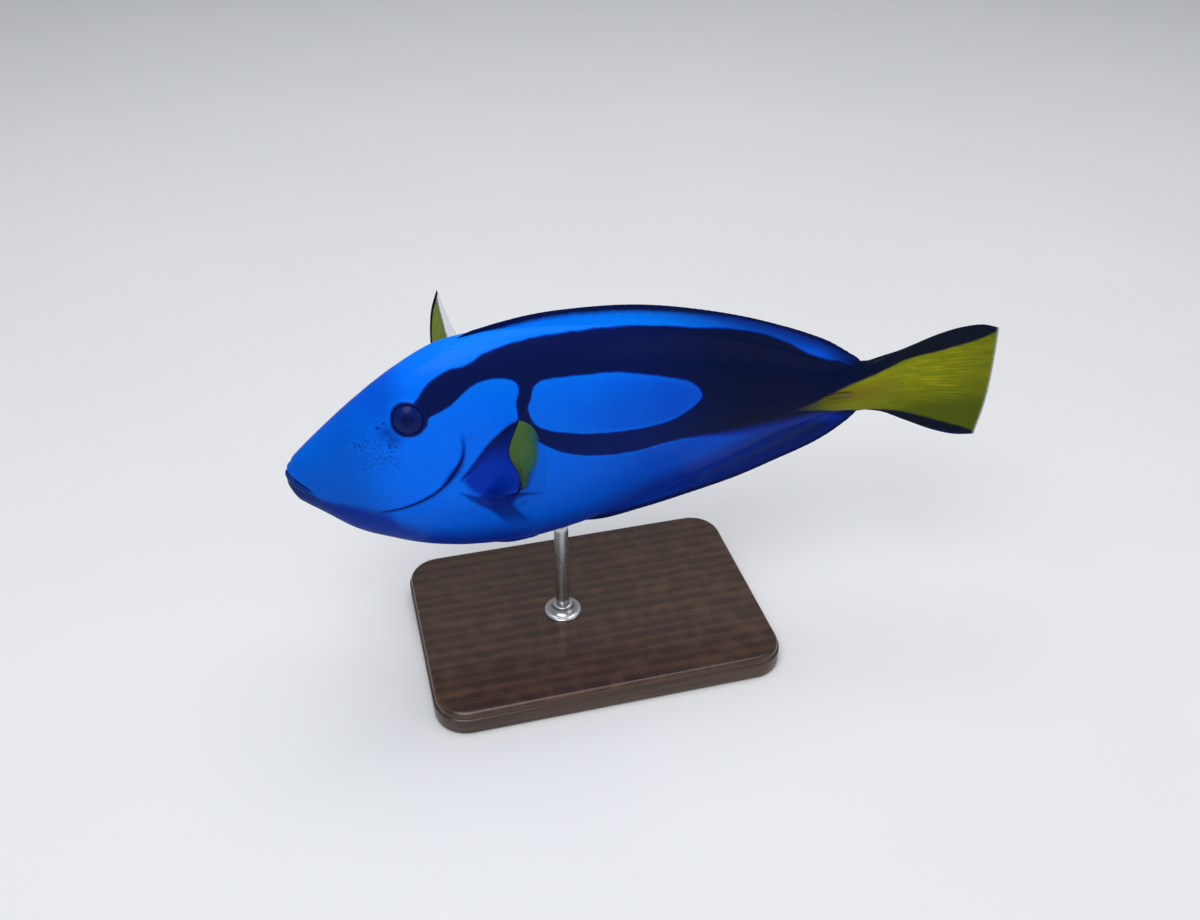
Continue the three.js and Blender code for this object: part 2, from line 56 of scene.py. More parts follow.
# Outlines of the body, as station and value.
BACK = [
    (0, 0.9), (6, 6.4), (16, 15), (26, 23), (36, 29.6), (49.5, 36.2), (60, 39), (75, 40.6), (90, 40),
    (105, 38.2), (120, 35.4), (138, 30.8), (155, 25.2), (170, 19.3), (184, 13.8), (194, 11.2),
    (200, 10.5), (204, 10.9),
]
BELLY = [
    (0, -11.3), (4, -15.3), (8, -18.9), (19.5, -29.3), (33, -36.2), (50, -41.2), (66, -43.4),
    (80, -43.4), (94, -41.6), (108, -38.2), (122, -34.2), (140, -28.4), (157, -22), (172, -16),
    (187, -11.6), (196, -10.4), (204, -10.2),
]
HALF_WIDTH = [
    (0, 3.2), (4, 4.9), (8, 6.3), (16, 8.4), (26, 10.6), (36, 12.4), (48, 14.2), (60, 15.2), (75, 15.4),
    (90, 14.6), (108, 12.8), (125, 10.8), (142, 8.8), (158, 7), (172, 5.6), (186, 4.7), (196, 4.2),
    (204, 3.4),
]
WIDEST_HEIGHT = [(0, -4.5), (16, -4), (36, -1), (60, 1), (100, 2), (150, 1), (190, 0), (204, 0)]
FULLNESS = [(0, 2.2), (30, 2.1), (60, 2), (120, 1.85), (204, 1.95)]

BEND_START = 178
BEND_END = 206
BEND_ANGLE = math.radians(10.5)

GILL_LINE = [
    (51, 32), (54.3, 15), (55.3, 9.6), (54.9, 4.5), (52.3, -0.9), (47.9, -7.1), (42.4, -11.6),
    (36.3, -15.2), (31.2, -17.1), (25.3, -18.5), (18, -25), (12, -42),
]
GILL_COVER_RISE = 0.7
CREASES = [
    [(53.5, -11.2), (58, -13), (62.7, -16.4), (69, -21.5)],
    [(70.5, -14.8), (75, -16), (79.5, -16.8)],
]
MOUTH_LINE = [(-4, 1.4), (0, -1.7), (2.6, -3.9), (5.2, -6.5), (8, -9.6), (9.6, -13.4)]
EYE = {"station": 39.4, "height": 18, "radius": 5.3, "dome": 2.7, "sunk": 1.0}
NOSTRILS = [(29.6, 15.2, 0.6), (31.6, 16.6, 0.5)]
LORE = (33.6, 13.4)  # the middle of the smudge before the eye
EYE_PATCH = 5.4  # the radius of the dark skin round the eye
BLADE = {"middle": 191, "length": 11, "height": -0.6, "tall": 2.6, "half": 0.9, "sunk": 0.35}

# The markings of a flank in side view, alike on both sides, with the outlines of painted shade and painted
# shadow among them.
BAND_TOP = [
    (34, 16.1), (36, 19.4), (39.6, 21.9), (42.3, 23.5), (44.2, 25.7), (46.9, 28.6), (53.2, 32),
    (57.1, 32.7), (61.2, 33.9), (64.1, 35.4), (69.6, 36.9), (77.9, 38), (88.2, 38.2), (103.7, 37.4),
    (120.4, 35.3), (136, 32.3), (151.7, 29.1), (162.6, 25.5), (171.5, 20.9), (179.4, 15.9),
    (184.9, 13.5), (196.1, 9.6),
]
LOBE = [
    (34, 16.1), (35.3, 14.1), (37.7, 12.5), (41.7, 13.6), (44.9, 15.9), (45.8, 18.3), (49, 20.1),
    (53.8, 22.8), (57.5, 25.8), (61.6, 28), (66.4, 28.8), (71, 28.4), (73.9, 27), (74.8, 24.6),
    (73.6, 20.7), (73.6, 17.1), (73.6, 14.8), (71, 13.6), (66.7, 10.5), (62.3, 6.1), (57.8, 0.2),
    (54.5, -4),
]
STRIPE_LOW = [
    (54.5, -4), (53.6, -6.2), (57.4, -3.2), (60.8, 0.6), (64.8, 5.2), (69.4, 9.6), (73.2, 12),
    (76.4, 10.4), (79.5, 6),
]
# The dark blue axil behind the pectoral fin: its upper part is the fish's own marking, its lower part
# painted shadow of the fin.
AXIL = [
    (53.9, -5.6), (57.4, 0.2), (62.2, 6.2), (72, 14), (79, 9), (79, 0), (77.5, -9), (75, -14),
    (69, -15), (62, -14), (57, -11),
]
# Painted shadow: a dark blue streak below the pectoral fin's root, for the shadow that the fin casts and
# the shade in its folds.
PECTORAL_SHADOW = [
    (53.5, -11), (58, -12.4), (63, -14.4), (68, -14.4), (72, -14), (79, -16.2), (73, -16.6),
    (70.8, -18.5), (73.5, -24), (77, -30), (73, -32), (68, -27), (63.5, -20.5), (58.5, -15.8),
]
OVAL = [
    (78.4, 21.3), (77.2, 18.7), (77.6, 15.1), (79.5, 11.8), (83.9, 9), (88.8, 7.1), (97.2, 4.9),
    (107.6, 3.3), (121.3, 2.7), (128.7, 3.8), (135.2, 6.9), (137.8, 9.6), (137.2, 12.4), (134, 15.5),
    (128.7, 17.8), (118.3, 21.4), (108.2, 24.3), (98.2, 25.5), (86.5, 26.4), (82, 26.2), (79.4, 24.6),
    (78.4, 21.3),
]
BAND_LOW = [
    (79.5, 6), (83.7, 2.7), (88.6, -0.5), (100.3, -4.5), (113, -6.2), (123.8, -5.9), (134.7, -6.2),
    (146.1, -8), (157.6, -9.3), (169.3, -10.3), (183.4, -10.1), (191.7, -11.8),
]
TAIL_ALL_DARK = [(199, -16), (252, -28), (252, 28), (199, 16)]
YELLOW_TOP = [
    (172, -4.2), (179.6, -2.7), (186, -0.2), (193.7, 2.8), (203.8, 6), (216.8, 10.7), (229.8, 14.1),
    (240.6, 17.6), (245.5, 20.2), (252, 24),
]
YELLOW_LOW = [
    (252, -24), (245.3, -21.3), (241.2, -19.4), (231.7, -16.2), (220.3, -12.3), (209.1, -9.6),
    (199, -9), (191.2, -8.2), (183.4, -6.2), (172, -4.2),
]
# Painted shade: below this line the jaw, throat and belly are painted darker, as in shade from light above.
UNDERSIDE_SHADE_LINE = [
    (0, -2.1), (2.6, -4.4), (5.2, -7.3), (8, -10.6), (11.5, -12.6), (17.7, -14.2), (25.4, -17),
    (29.5, -19.2), (33, -23.6), (39.4, -27), (49.3, -29.6), (66, -30.6), (88, -31.4), (103, -29.8),
    (120, -25.6), (150, -17), (180, -10.6), (200, -8),
]
DORSAL_MARGIN = [
    (50, 36), (56.7, 37.6), (66.7, 39.5), (71.2, 40.4), (78, 41.5), (84.8, 42.3), (94, 42.6),
    (103.2, 42), (111.2, 41.4), (120.6, 40.1), (135.8, 37.1), (151.5, 32.9), (167.8, 26.8), (179, 21.6),
    (190.7, 15.2), (200, 9),
]

# Edges of the fins in side view.
DORSAL_EDGE = [
    (54, 36), (60, 39.8), (67, 41.7), (74, 43), (80, 43.9), (87, 44.4), (95, 44.4), (103, 44.1),
    (112, 43.4), (121, 42.2), (136, 39), (151, 34.6), (167, 28.6), (179, 23.4), (187.4, 19.1),
    (191.2, 16.6), (195, 13.9), (197.8, 11.9), (199.4, 10), (200, 9.2),
]
ANAL_EDGE = [
    (96, -41.4), (104, -42.2), (119, -40.2), (142, -36), (157, -32.2), (172, -27.4), (180, -24.6),
    (187.5, -21), (194.6, -15.9), (198.4, -12.4), (200.2, -10.2),
]
TAIL_TOP = [
    (199, 9.6), (203, 10.9), (207, 12.3), (212.6, 14.2), (217, 16.2), (225, 19.9), (234, 22.7),
    (241, 23.3), (246.4, 22),
]
TAIL_BOTTOM = [(203, -9.9), (209, -11), (218, -14.9), (230, -20.1), (238, -22.4), (245.6, -22.8)]
DORSAL_LEAN = [(0, 1.5), (0.25, 6), (0.6, 10), (1, 11.4)]
ANAL_LEAN = [(0, 1.5), (0.3, 6), (0.7, 10), (1, 13.2)]
FIN_SUNK = 2.5
TAIL_START = 199
TAIL_REAR = 245.8
WEB_HALF = 0.13

# Each paired fin's leading ray, trailing ray and outer edge.
PECTORALS = {
    "left": (
        [
            (55.5, -9, -11), (62.5, -17, -12), (70.5, -22.5, -8.5), (71, -27.5, 2), (67, -32, 15),
            (69.6, -37.5, 30),
        ],
        [(61, -9, -20.5), (69, -17, -18.5), (78.4, -25.5, -8.5)],
        [(73.4, -38, 27.5), (78, -35.5, 14), (79, -30.5, 1)],
    ),
    "right": (
        [
            (55.5, 9, -11), (55.4, 17.5, -5), (53.6, 25, 8), (52.6, 30.5, 20.5), (54.2, 35, 31),
            (57, 38, 37.2),
        ],
        [(61, 9, -20.5), (66, 17, -17), (75, 25.5, -5)],
        [(61.6, 33, 23), (69, 30, 8)],
    ),
}

PELVIC = (
    [(59, 3, -39), (69, 3.2, -43), (81, 2.6, -43.1)],
    [(63, 5, -37), (70, 5.7, -39.6), (77.5, 4.4, -40.9)],
    [(79.8, 3.5, -42.3)],
)

# The yellow of a pectoral fin: its share of the width, where it tapers and by how much, and how lit its
# blade is painted.
# Painted light: 1 paints the far fin's blade as in light, 0 the near fin's as in shade.
YELLOW = {
    "left": {"wide": 0.5, "from": 0.88, "taper": 0.3, "warm": 0.0},
    "right": {"wide": 0.32, "from": 0.82, "taper": 1.0, "warm": 1.0},
}
KEEL = {"below": 0.5, "above": 0.25, "throat": 0.55}  # how far the flanks flatten towards the middle line

BASE = {"length": 128, "width": 88, "height": 9, "corner": 12, "bevel": 1.5}
CORNER_STEPS = 14
ROD = {"station": 90, "radius": 2.6, "boss": 7, "boss_height": 4}

CAMERA = {
    "place": (-0.08192, -0.32911, 0.31403),
    "forward": (0.2081, 0.7923, -0.5736),
    "right": (0.9672, -0.2540, 0.0),
    "up": (0.1457, 0.5548, 0.8192),
    "lens": 35.7,
    "sensor": 36,
}

# The studio, in metres: each light's place, size and power.
LIT_POINT = (0.02, 0, 0.09)
LIGHTS = (
    ("key", (-0.35, -0.55, 1.15), 0.9, 9),
    ("top", (0.15, 0.25, 1.3), 1.1, 8),
    ("fill", (0.95, -0.8, 0.5), 0.8, 1.5),
)
SKY = (0.8, 0.84, 0.9, 1)
FLOOR_REACH = 3.0
FLOOR_DROP = 0.0002

rng = np.random.default_rng(7)


# Curves and distances.
def smooth(x, low, high):
    t = np.clip((x - low) / (high - low), 0, 1)
    return t * t * (3 - 2 * t)


def hump(x, centre, width):
    return np.exp(-(((x - centre) / width) ** 2) / 2)


def profile(points, x):
    """A smooth curve through (station, value) pairs."""
    knots = np.array(points, float)
    xs, ys = knots[:, 0], knots[:, 1]
    step = np.diff(xs)
    slope = np.diff(ys) / step
    tangent = np.empty(len(xs))
    tangent[0], tangent[-1] = slope[0], slope[-1]
    tangent[1:-1] = (slope[:-1] * step[1:] + slope[1:] * step[:-1]) / (step[:-1] + step[1:])
    at = np.clip(x, xs[0], xs[-1])
    i = np.clip(np.searchsorted(xs, at, side="right") - 1, 0, len(step) - 1)
    h = step[i]
    t = (at - xs[i]) / h
    ends = (2 * t**3 - 3 * t**2 + 1) * ys[i] + (3 * t**2 - 2 * t**3) * ys[i + 1]
    return ends + (t**3 - 2 * t**2 + t) * h * tangent[i] + (t**3 - t**2) * h * tangent[i + 1]


def catmull(points, t):
    """Points at shares t of a centripetal Catmull-Rom curve, in any number of dimensions."""
    p = np.array(points, float)
    whole = np.vstack([2 * p[0] - p[1], p, 2 * p[-1] - p[-2]])
    at = np.clip(np.asarray(t, float), 0, 1) * (len(p) - 1)
    i = np.clip(np.floor(at).astype(int), 0, len(p) - 2)
    w = (at - i)[..., None]
    p0, p1, p2, p3 = near = [whole[i + k] for k in range(4)]
    gaps = [np.linalg.norm(b - a, axis=-1, keepdims=True) ** 0.5 for a, b in zip(near, near[1:])]
    d0, d1, d2 = (np.maximum(gap, 1e-3) for gap in gaps)
    start = ((p1 - p0) / d0 - (p2 - p0) / (d0 + d1) + (p2 - p1) / d1) * d1
    end = ((p2 - p1) / d1 - (p3 - p1) / (d1 + d2) + (p3 - p2) / d2) * d1
    rise = p2 - p1
    return p1 + start * w + (3 * rise - 2 * start - end) * w**2 + (start + end - 2 * rise) * w**3


def traced(points, steps=8):
    """The same curve as a run of short straight lines."""
    return catmull(points, np.linspace(0, 1, (len(points) - 1) * steps + 1))


def line_distance(line, x, z):
    """Distance from each (x, z) to a run of straight lines, and which side it lies on: + is to its left."""
    flat = np.stack([x.ravel(), z.ravel()], 1)
    best = np.full(len(flat), 1e9)
    side = np.ones(len(flat))
    for a, b in zip(line[:-1], line[1:]):
        run = b - a
        length = max(run @ run, 1e-12)
        offset = flat - a
        share = np.clip(offset @ run / length, 0, 1)
        away = offset - share[:, None] * run
        distance = np.hypot(away[:, 0], away[:, 1])
        nearer = distance < best
        best = np.where(nearer, distance, best)
        turn = run[0] * offset[:, 1] - run[1] * offset[:, 0]
        side = np.where(nearer, np.where(turn >= 0, 1.0, -1.0), side)
    return best.reshape(x.shape), side.reshape(x.shape)


def area_distance(outline, x, z):
    """Signed distance to a closed outline, positive inside it."""
    distance, _ = line_distance(outline, x, z)
    inside = np.zeros(x.shape, bool)
    for a, b in zip(outline[:-1], outline[1:]):
        crosses = (a[1] > z) != (b[1] > z)
        rise = b[1] - a[1] if abs(b[1] - a[1]) > 1e-12 else 1e-12
        inside ^= crosses & (x < (b[0] - a[0]) * (z - a[1]) / rise + a[0])
    return np.where(inside, distance, -distance)


def closed(*runs):
    outline = np.vstack([np.array(run, float) for run in runs])
    return np.vstack([outline, outline[:1]])


BAND_UNDERSIDE = [traced(run[::-1], 5) for run in (BAND_LOW, STRIPE_LOW, LOBE)]
BAND_AREA = closed(traced(BAND_TOP, 5), TAIL_ALL_DARK[::-1], *BAND_UNDERSIDE)
OVAL_AREA = closed(traced(OVAL, 5))
AXIL_AREA = closed(traced(AXIL + AXIL[:1], 5))
PECTORAL_SHADOW_AREA = closed(traced(PECTORAL_SHADOW + PECTORAL_SHADOW[:1], 5))
YELLOW_AREA = closed(traced(YELLOW_TOP, 5), traced(YELLOW_LOW, 5))
GILL = traced(GILL_LINE)
MOUTH = traced(MOUTH_LINE)


# The body's own surface.
def section(x):
    """The body's section at each station: its middle, top, bottom, half width and fullness."""
    rounding = 1 - np.clip((x - SNOUT) / NOSE_ROUND, 0, 1)
    cap = np.sqrt(1 - rounding**2)
    middle = profile(WIDEST_HEIGHT, x)
    top = middle + (profile(BACK, x) - middle) * cap
    bottom = middle + (profile(BELLY, x) - middle) * cap
    return middle, top, bottom, profile(HALF_WIDTH, x) * cap, profile(FULLNESS, x)


def flank(x, z):
    """How far the flank is from the middle plane."""
    middle, top, bottom, half, power = section(np.asarray(x, float))
    share = np.where(z > middle, (z - middle) / (top - middle), (middle - z) / (middle - bottom))
    return half * np.maximum(0, 1 - np.abs(share) ** power) ** (1 / power)


def eye_place(side):
    """An eye's middle on the flank, and the way that it looks."""
    x, z = EYE["station"], EYE["height"]
    d = 0.5
    along = (flank(x + d, z) - flank(x - d, z)) / (2 * d)
    up = (flank(x, z + d) - flank(x, z - d)) / (2 * d)
    return np.array([x, side * flank(x, z), z]), unit(np.array([-along, side, -up]))


def bend(points):
    """Carries points of the straight fish to the swinging tail."""
    x, y, z = points[..., 0], points[..., 1], points[..., 2]
    radius = (BEND_END - BEND_START) / BEND_ANGLE
    turn = (np.clip(x, BEND_START, BEND_END) - BEND_START) / radius
    beyond = np.maximum(0, x - BEND_END)
    bent_x = BEND_START + radius * np.sin(turn) + beyond * np.cos(turn) + y * np.sin(turn)
    bent_y = -radius * (1 - np.cos(turn)) - beyond * np.sin(turn) + y * np.cos(turn)
    behind = x > BEND_START
    return np.stack([np.where(behind, bent_x, x), np.where(behind, bent_y, y), z], -1)


def to_model(points):
    return (points + (-ORIGIN_STATION, 0, AXIS_HEIGHT)) * MM


def unit(vectors):
    return vectors / np.maximum(np.linalg.norm(vectors, axis=-1, keepdims=True), 1e-9)


# Meshes and pieces.
def add_object(name, data):
    made = bpy.data.objects.new(name, data)
    bpy.context.scene.collection.objects.link(made)
    return made


def make_mesh(name, points, faces, material):
    mesh = bpy.data.meshes.new(name)
    mesh.from_pydata(points.reshape(-1, 3).tolist(), [], [list(face) for face in faces])
    mesh.update()
    mesh.polygons.foreach_set("use_smooth", np.ones(len(mesh.polygons), bool))
    mesh.materials.append(material)
    return mesh


def make_piece(name, points, faces, material, stands_for=()):
    """A smooth piece of the model from points in the shared frame."""
    piece = add_object(name, make_mesh(name, points, faces, material))
    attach(piece, BODY)
    if stands_for:
        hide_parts(*stands_for)
    return piece


def store(piece, fields):
    """Keeps one number for each vertex under each name, for the materials to read."""
    for name, values in fields.items():
        attribute = piece.data.attributes.new(name, "FLOAT", "POINT")
        attribute.data.foreach_set("value", np.ascontiguousarray(values, np.float32).ravel())


# Fields for the paint: the fish's own markings, and where painted shade and painted shadow fall.
def markings(x, z):
    band = np.minimum(area_distance(BAND_AREA, x, z), -area_distance(OVAL_AREA, x, z))
    return {
        "station": x,
        "height": z,
        "dark": np.maximum(band, EYE_PATCH - np.hypot(x - EYE["station"], z - EYE["height"])),
        "lore": np.hypot(x - LORE[0], z - LORE[1]),
        "axil": area_distance(AXIL_AREA, x, z),
        "fold": area_distance(PECTORAL_SHADOW_AREA, x, z),
        "yellow": area_distance(YELLOW_AREA, x, z),
        # painted shade: how far a point lies below the line of painted shade on the underside
        "under": profile(UNDERSIDE_SHADE_LINE, x) - z,
    }


def even_turn(count):
    return np.arange(count) / count * 2 * math.pi


def ring_faces(rings, around):
    """Quads between closed rings of points."""
    i, j = np.meshgrid(np.arange(rings - 1), np.arange(around), indexing="ij")
    a = i * around + j
    b = i * around + (j + 1) % around
    return np.stack([a, b, b + around, a + around], -1).reshape(-1, 4).tolist()


def tube_faces(rings, around):
    """The same quads, with a flat face at each end."""
    ends = [range(around)[::-1], range((rings - 1) * around, rings * around)]
    return ring_faces(rings, around) + [list(end) for end in ends]


def sheet(node, surface, half, fields, rays, forks, per_ray, rows, material):
    """A thin closed fin: a middle surface from root (v = 0) to edge (v = 1), thickened to both sides."""
    columns = rays * per_ray
    u, v = np.meshgrid(np.linspace(0, 1, columns + 1), np.linspace(0, 1, rows + 1), indexing="ij")
    ray = ray_ridge(u, v, rays, forks)
    d = 1e-3
    straight = surface(u, v)
    middle = bend(straight)
    across = bend(surface(np.minimum(u + d, 1), v)) - bend(surface(np.maximum(u - d, 0), v))
    along = bend(surface(u, np.minimum(v + d, 1))) - bend(surface(u, np.maximum(v - d, 0)))
    offset = unit(np.cross(across, along)) * half(u, v, ray)[..., None]
    points = to_model(np.concatenate([middle + offset, (middle - offset)[:, ::-1]], 1))
    around = 2 * (rows + 1)
    low = np.arange(rows)
    end = np.stack([low, low + 1, around - 2 - low, around - 1 - low], 1)
    faces = [face[::-1] for face in ring_faces(columns + 1, around)]
    faces += end.tolist() + (end[:, ::-1] + columns * around).tolist()
    piece = make_piece(node + "_web", points, faces, material, (node,))
    made = fields(u, v, ray, straight[..., 0], straight[..., 2])
    store(piece, {key: np.concatenate([values, values[:, ::-1]], 1) for key, values in made.items()})


def ray_ridge(u, v, count, forks):
    """How much of a fin ray is under each point, 0 to 1. Each ray forks where v passes each of forks."""
    away = np.abs((u * count) % 1 - 0.5)
    spread = 0.25
    for start, end in forks:
        away = np.abs(away - spread * smooth(v, start, end))
        spread /= 2
    width = 0.3 - 0.16 * smooth(v, 0.1, 0.9)
    return 1 - smooth(away / width, 0.1, 1)


def notches(u, rays, forks, depths):
    """How deep a fin's free edge is cut between the tips of its rays."""
    cut = np.interp(u * (len(depths) - 1), np.arange(len(depths)), depths)
    return cut * (1 - ray_ridge(u, np.ones_like(u), rays, forks))


def patch(leading, trailing, outer):
    """A surface between a leading and a trailing ray, the root and an outer edge."""
    rim = [leading[-1], *outer, trailing[-1]]
    root = np.array([leading[0], trailing[0]], float)
    tip = np.array([leading[-1], trailing[-1]], float)

    def surface(u, v):
        u1, v1 = u[..., None], v[..., None]
        rays = catmull(leading, v) * (1 - u1) + catmull(trailing, v) * u1
        inner = root[0] * (1 - u1) + root[1] * u1
        corners = inner * (1 - v1) + (tip[0] * (1 - u1) + tip[1] * u1) * v1
        return rays + inner * (1 - v1) + catmull(rim, u) * v1 - corners

    return surface


# Materials.
class Shader:
    """A new material with short calls for its nodes. Each call gives the socket that it makes."""

    def __init__(self, name, **constants):
        self.material = bpy.data.materials.new(name)
        self.material.use_nodes = True
        self.tree = self.material.node_tree
        self.surface = self.tree.nodes["Principled BSDF"]
        for key, value in constants.items():
            self.surface.inputs[key.replace("_", " ")].default_value = value

    def feed(self, socket, value):
        if isinstance(value, bpy.types.NodeSocket):
            self.tree.links.new(value, socket)
        elif isinstance(value, tuple) and len(value) == 3 and len(socket.default_value) == 4:
            socket.default_value = (*value, 1)
        else:
            socket.default_value = value

    def node(self, kind, inputs=(), **settings):
        made = self.tree.nodes.new("ShaderNode" + kind)
        for key, value in settings.items():
            setattr(made, key, value)
        for key, value in dict(inputs).items():
            self.feed(made.inputs[key], value)
        return made

    def set(self, name, value):
        self.feed(self.surface.inputs[name], value)

    def field(self, name):
        return self.node("Attribute", attribute_name=name).outputs["Fac"]

    def place(self, scale=(1, 1, 1)):
        found = self.node("TexCoord").outputs["Object"]
        return self.node("Mapping", {"Vector": found, "Scale": scale}).outputs["Vector"]

    def calc(self, kind, a, b):
        return self.node("Math", {0: a, 1: b}, operation=kind).outputs[0]

    def times(self, *values):
        total = values[0]
        for value in values[1:]:
            total = self.calc("MULTIPLY", total, value)
        return total

    def ramp(self, value, low, high, to_low=0, to_high=1):
        ends = {"Value": value, "From Min": low, "From Max": high, "To Min": to_low, "To Max": to_high}
        return self.node("MapRange", ends, interpolation_type="SMOOTHSTEP").outputs["Result"]

    def mix(self, share, a, b, blend_type="MIX"):
        made = self.node("Mix", data_type="RGBA", blend_type=blend_type)
        for socket, value in ((made.inputs[0], share), (made.inputs[6], a), (made.inputs[7], b)):
            self.feed(socket, value)
        return made.outputs[2]

    def washed(self, colour, *washes):
        """A colour under washes of others. A wash is a tint, and ramps and factors that make its share."""
        for tint, *parts in washes:
            share = self.times(*[self.ramp(*part) if isinstance(part, tuple) else part for part in parts])
            colour = self.mix(share, colour, tint)
        return colour

    def red(self, colour):
        return self.node("SeparateColor", {0: colour}).outputs[0]

    def noise(self, scale, detail=3, roughness=0.5, vector=None):
        place = vector or self.place()
        inputs = {"Vector": place, "Scale": scale, "Detail": detail, "Roughness": roughness}
        return self.node("TexNoise", inputs).outputs["Fac"]

    def waver(self, scale, detail, amount):
        """Noise about nought."""
        return self.times(self.calc("SUBTRACT", self.noise(scale, detail), 0.5), amount)

    def cells(self, scale, vector, **settings):
        return self.node("TexVoronoi", {"Vector": vector, "Scale": scale}, **settings)

    def bump(self, height, distance, strength, **under):
        inputs = {"Height": height, "Distance": distance, "Strength": strength, **under}
        return self.node("Bump", inputs).outputs["Normal"]


AZURE = (0.001, 0.165, 1)
BRIGHT = (0.001, 0.195, 0.95)
SNOUT_BLUE = (0.001, 0.105, 0.64)
BROW_BLUE = (0.001, 0.06, 0.52)
LORE_BLUE = (0.001, 0.04, 0.4)
BACK_REAR = (0.001, 0.066, 0.5)
FLANK_BLUE = (0.001, 0.078, 0.64)
# Painted shade of the underside: the belly and the lower jaw painted darker, as in shade.
BELLY_SHADE = (0.001, 0.019, 0.28)
JAW_SHADE = (0.001, 0.01, 0.11)
# Painted shade of the lower rear body.
REAR_SHADE = (0.002, 0.0125, 0.105)
AXIL_BLUE = (0.001, 0.034, 0.46)
AXIL_DEEP = (0.001, 0.012, 0.17)
BAND_NAVY = (0.003, 0.0085, 0.076)
BAND_REAR = (0.002, 0.0055, 0.036)
BAND_UNDER = (0.002, 0.0115, 0.115)
STRIPE_BLUE = (0.001, 0.018, 0.24)
RIM_BLUE = (0.001, 0.026, 0.34)
# Painted shade in the gill opening.
GILL_SHADE = (0.001, 0.008, 0.22)
FRECKLE = (0.001, 0.014, 0.17)
FIN_BLACK = (0.002, 0.0075, 0.066)
TAIL_BLACK = (0.005, 0.008, 0.02)
TAIL_YELLOW = (0.2, 0.228, 0.006)
TAIL_GOLD = (0.34, 0.33, 0.012)
TAIL_OLIVE = (0.07, 0.095, 0.006)
WEDGE_ORANGE = (0.2, 0.145, 0.01)
BLACK = (0, 0, 0)
MARGIN_NAVY = (0.0023, 0.0146, 0.1684)
CLEAR_GREY = (0.2, 0.24, 0.25)
STEM_BLUE = (0.001, 0.022, 0.3)
WEB_BLUE = (0.004, 0.07, 0.4)
LEADING_BLACK = (0.003, 0.004, 0.011)
# Lit and shaded copies of the pectoral blade's colours: the near fin painted as in shade, the far fin as in
# light.
SHADED_GREEN = (0.032, 0.14, 0.07)
SHADED_YELLOW = (0.1, 0.2, 0.05)
LIT_GREEN = (0.15, 0.22, 0.035)
LIT_YELLOW = (0.23, 0.28, 0.018)
PUPIL = (0.002, 0.007, 0.07)
IRIS = ((0.003, 0.011, 0.105), (0.003, 0.015, 0.13))
HORN = ((0.105, 0.085, 0.008), (0.135, 0.11, 0.012))
HORN_POINT = (0.075, 0.062, 0.008)
WOOD_BROWN = ((0.034, 0.015, 0.008), (0.066, 0.03, 0.0145))
WOOD_GRAIN = (0.018, 0.008, 0.0045)
WOOD_PORE = (0.008, 0.004, 0.0025)
WOOD_WORN = (0.17, 0.085, 0.045)
STEEL = ((0.54, 0.545, 0.56), (0.62, 0.625, 0.64))
FLOOR = ((0.72, 0.73, 0.745), (0.78, 0.785, 0.79))
SATIN = {"Specular_IOR_Level": 0.02, "Specular_Tint": (0.4, 0.6, 1, 1)}


def freckles(s, station, height):
    """Fine dark dots between the eye and the mouth."""
    noise = {"Vector": s.place(), "Scale": 620, "Detail": 2}
    jitter = s.node("TexNoise", noise).outputs["Color"]
    spots = s.node("CombineXYZ", {"X": station, "Y": s.times(height, 1.25)}).outputs[0]
    spots = s.mix(1, spots, s.mix(0.6, BLACK, jitter), "ADD")
    found = 0
    for scale, size, least in ((0.45, 0.26, 0.62), (0.66, 0.36, 0.38), (1.25, 0.4, 0.45)):
        cells = s.cells(scale, spots, voronoi_dimensions="2D")
        kept = s.ramp(s.red(cells.outputs["Color"]), least, least + 0.3)
        found = s.calc("MAXIMUM", found, s.times(s.ramp(cells.outputs["Distance"], size, size * 0.3), kept))
    ahead, behind = s.ramp(station, 9, 24), s.ramp(station, 38, 33)
    return s.times(found, ahead, behind, s.ramp(height, -5, 3), s.ramp(height, 15, 10))


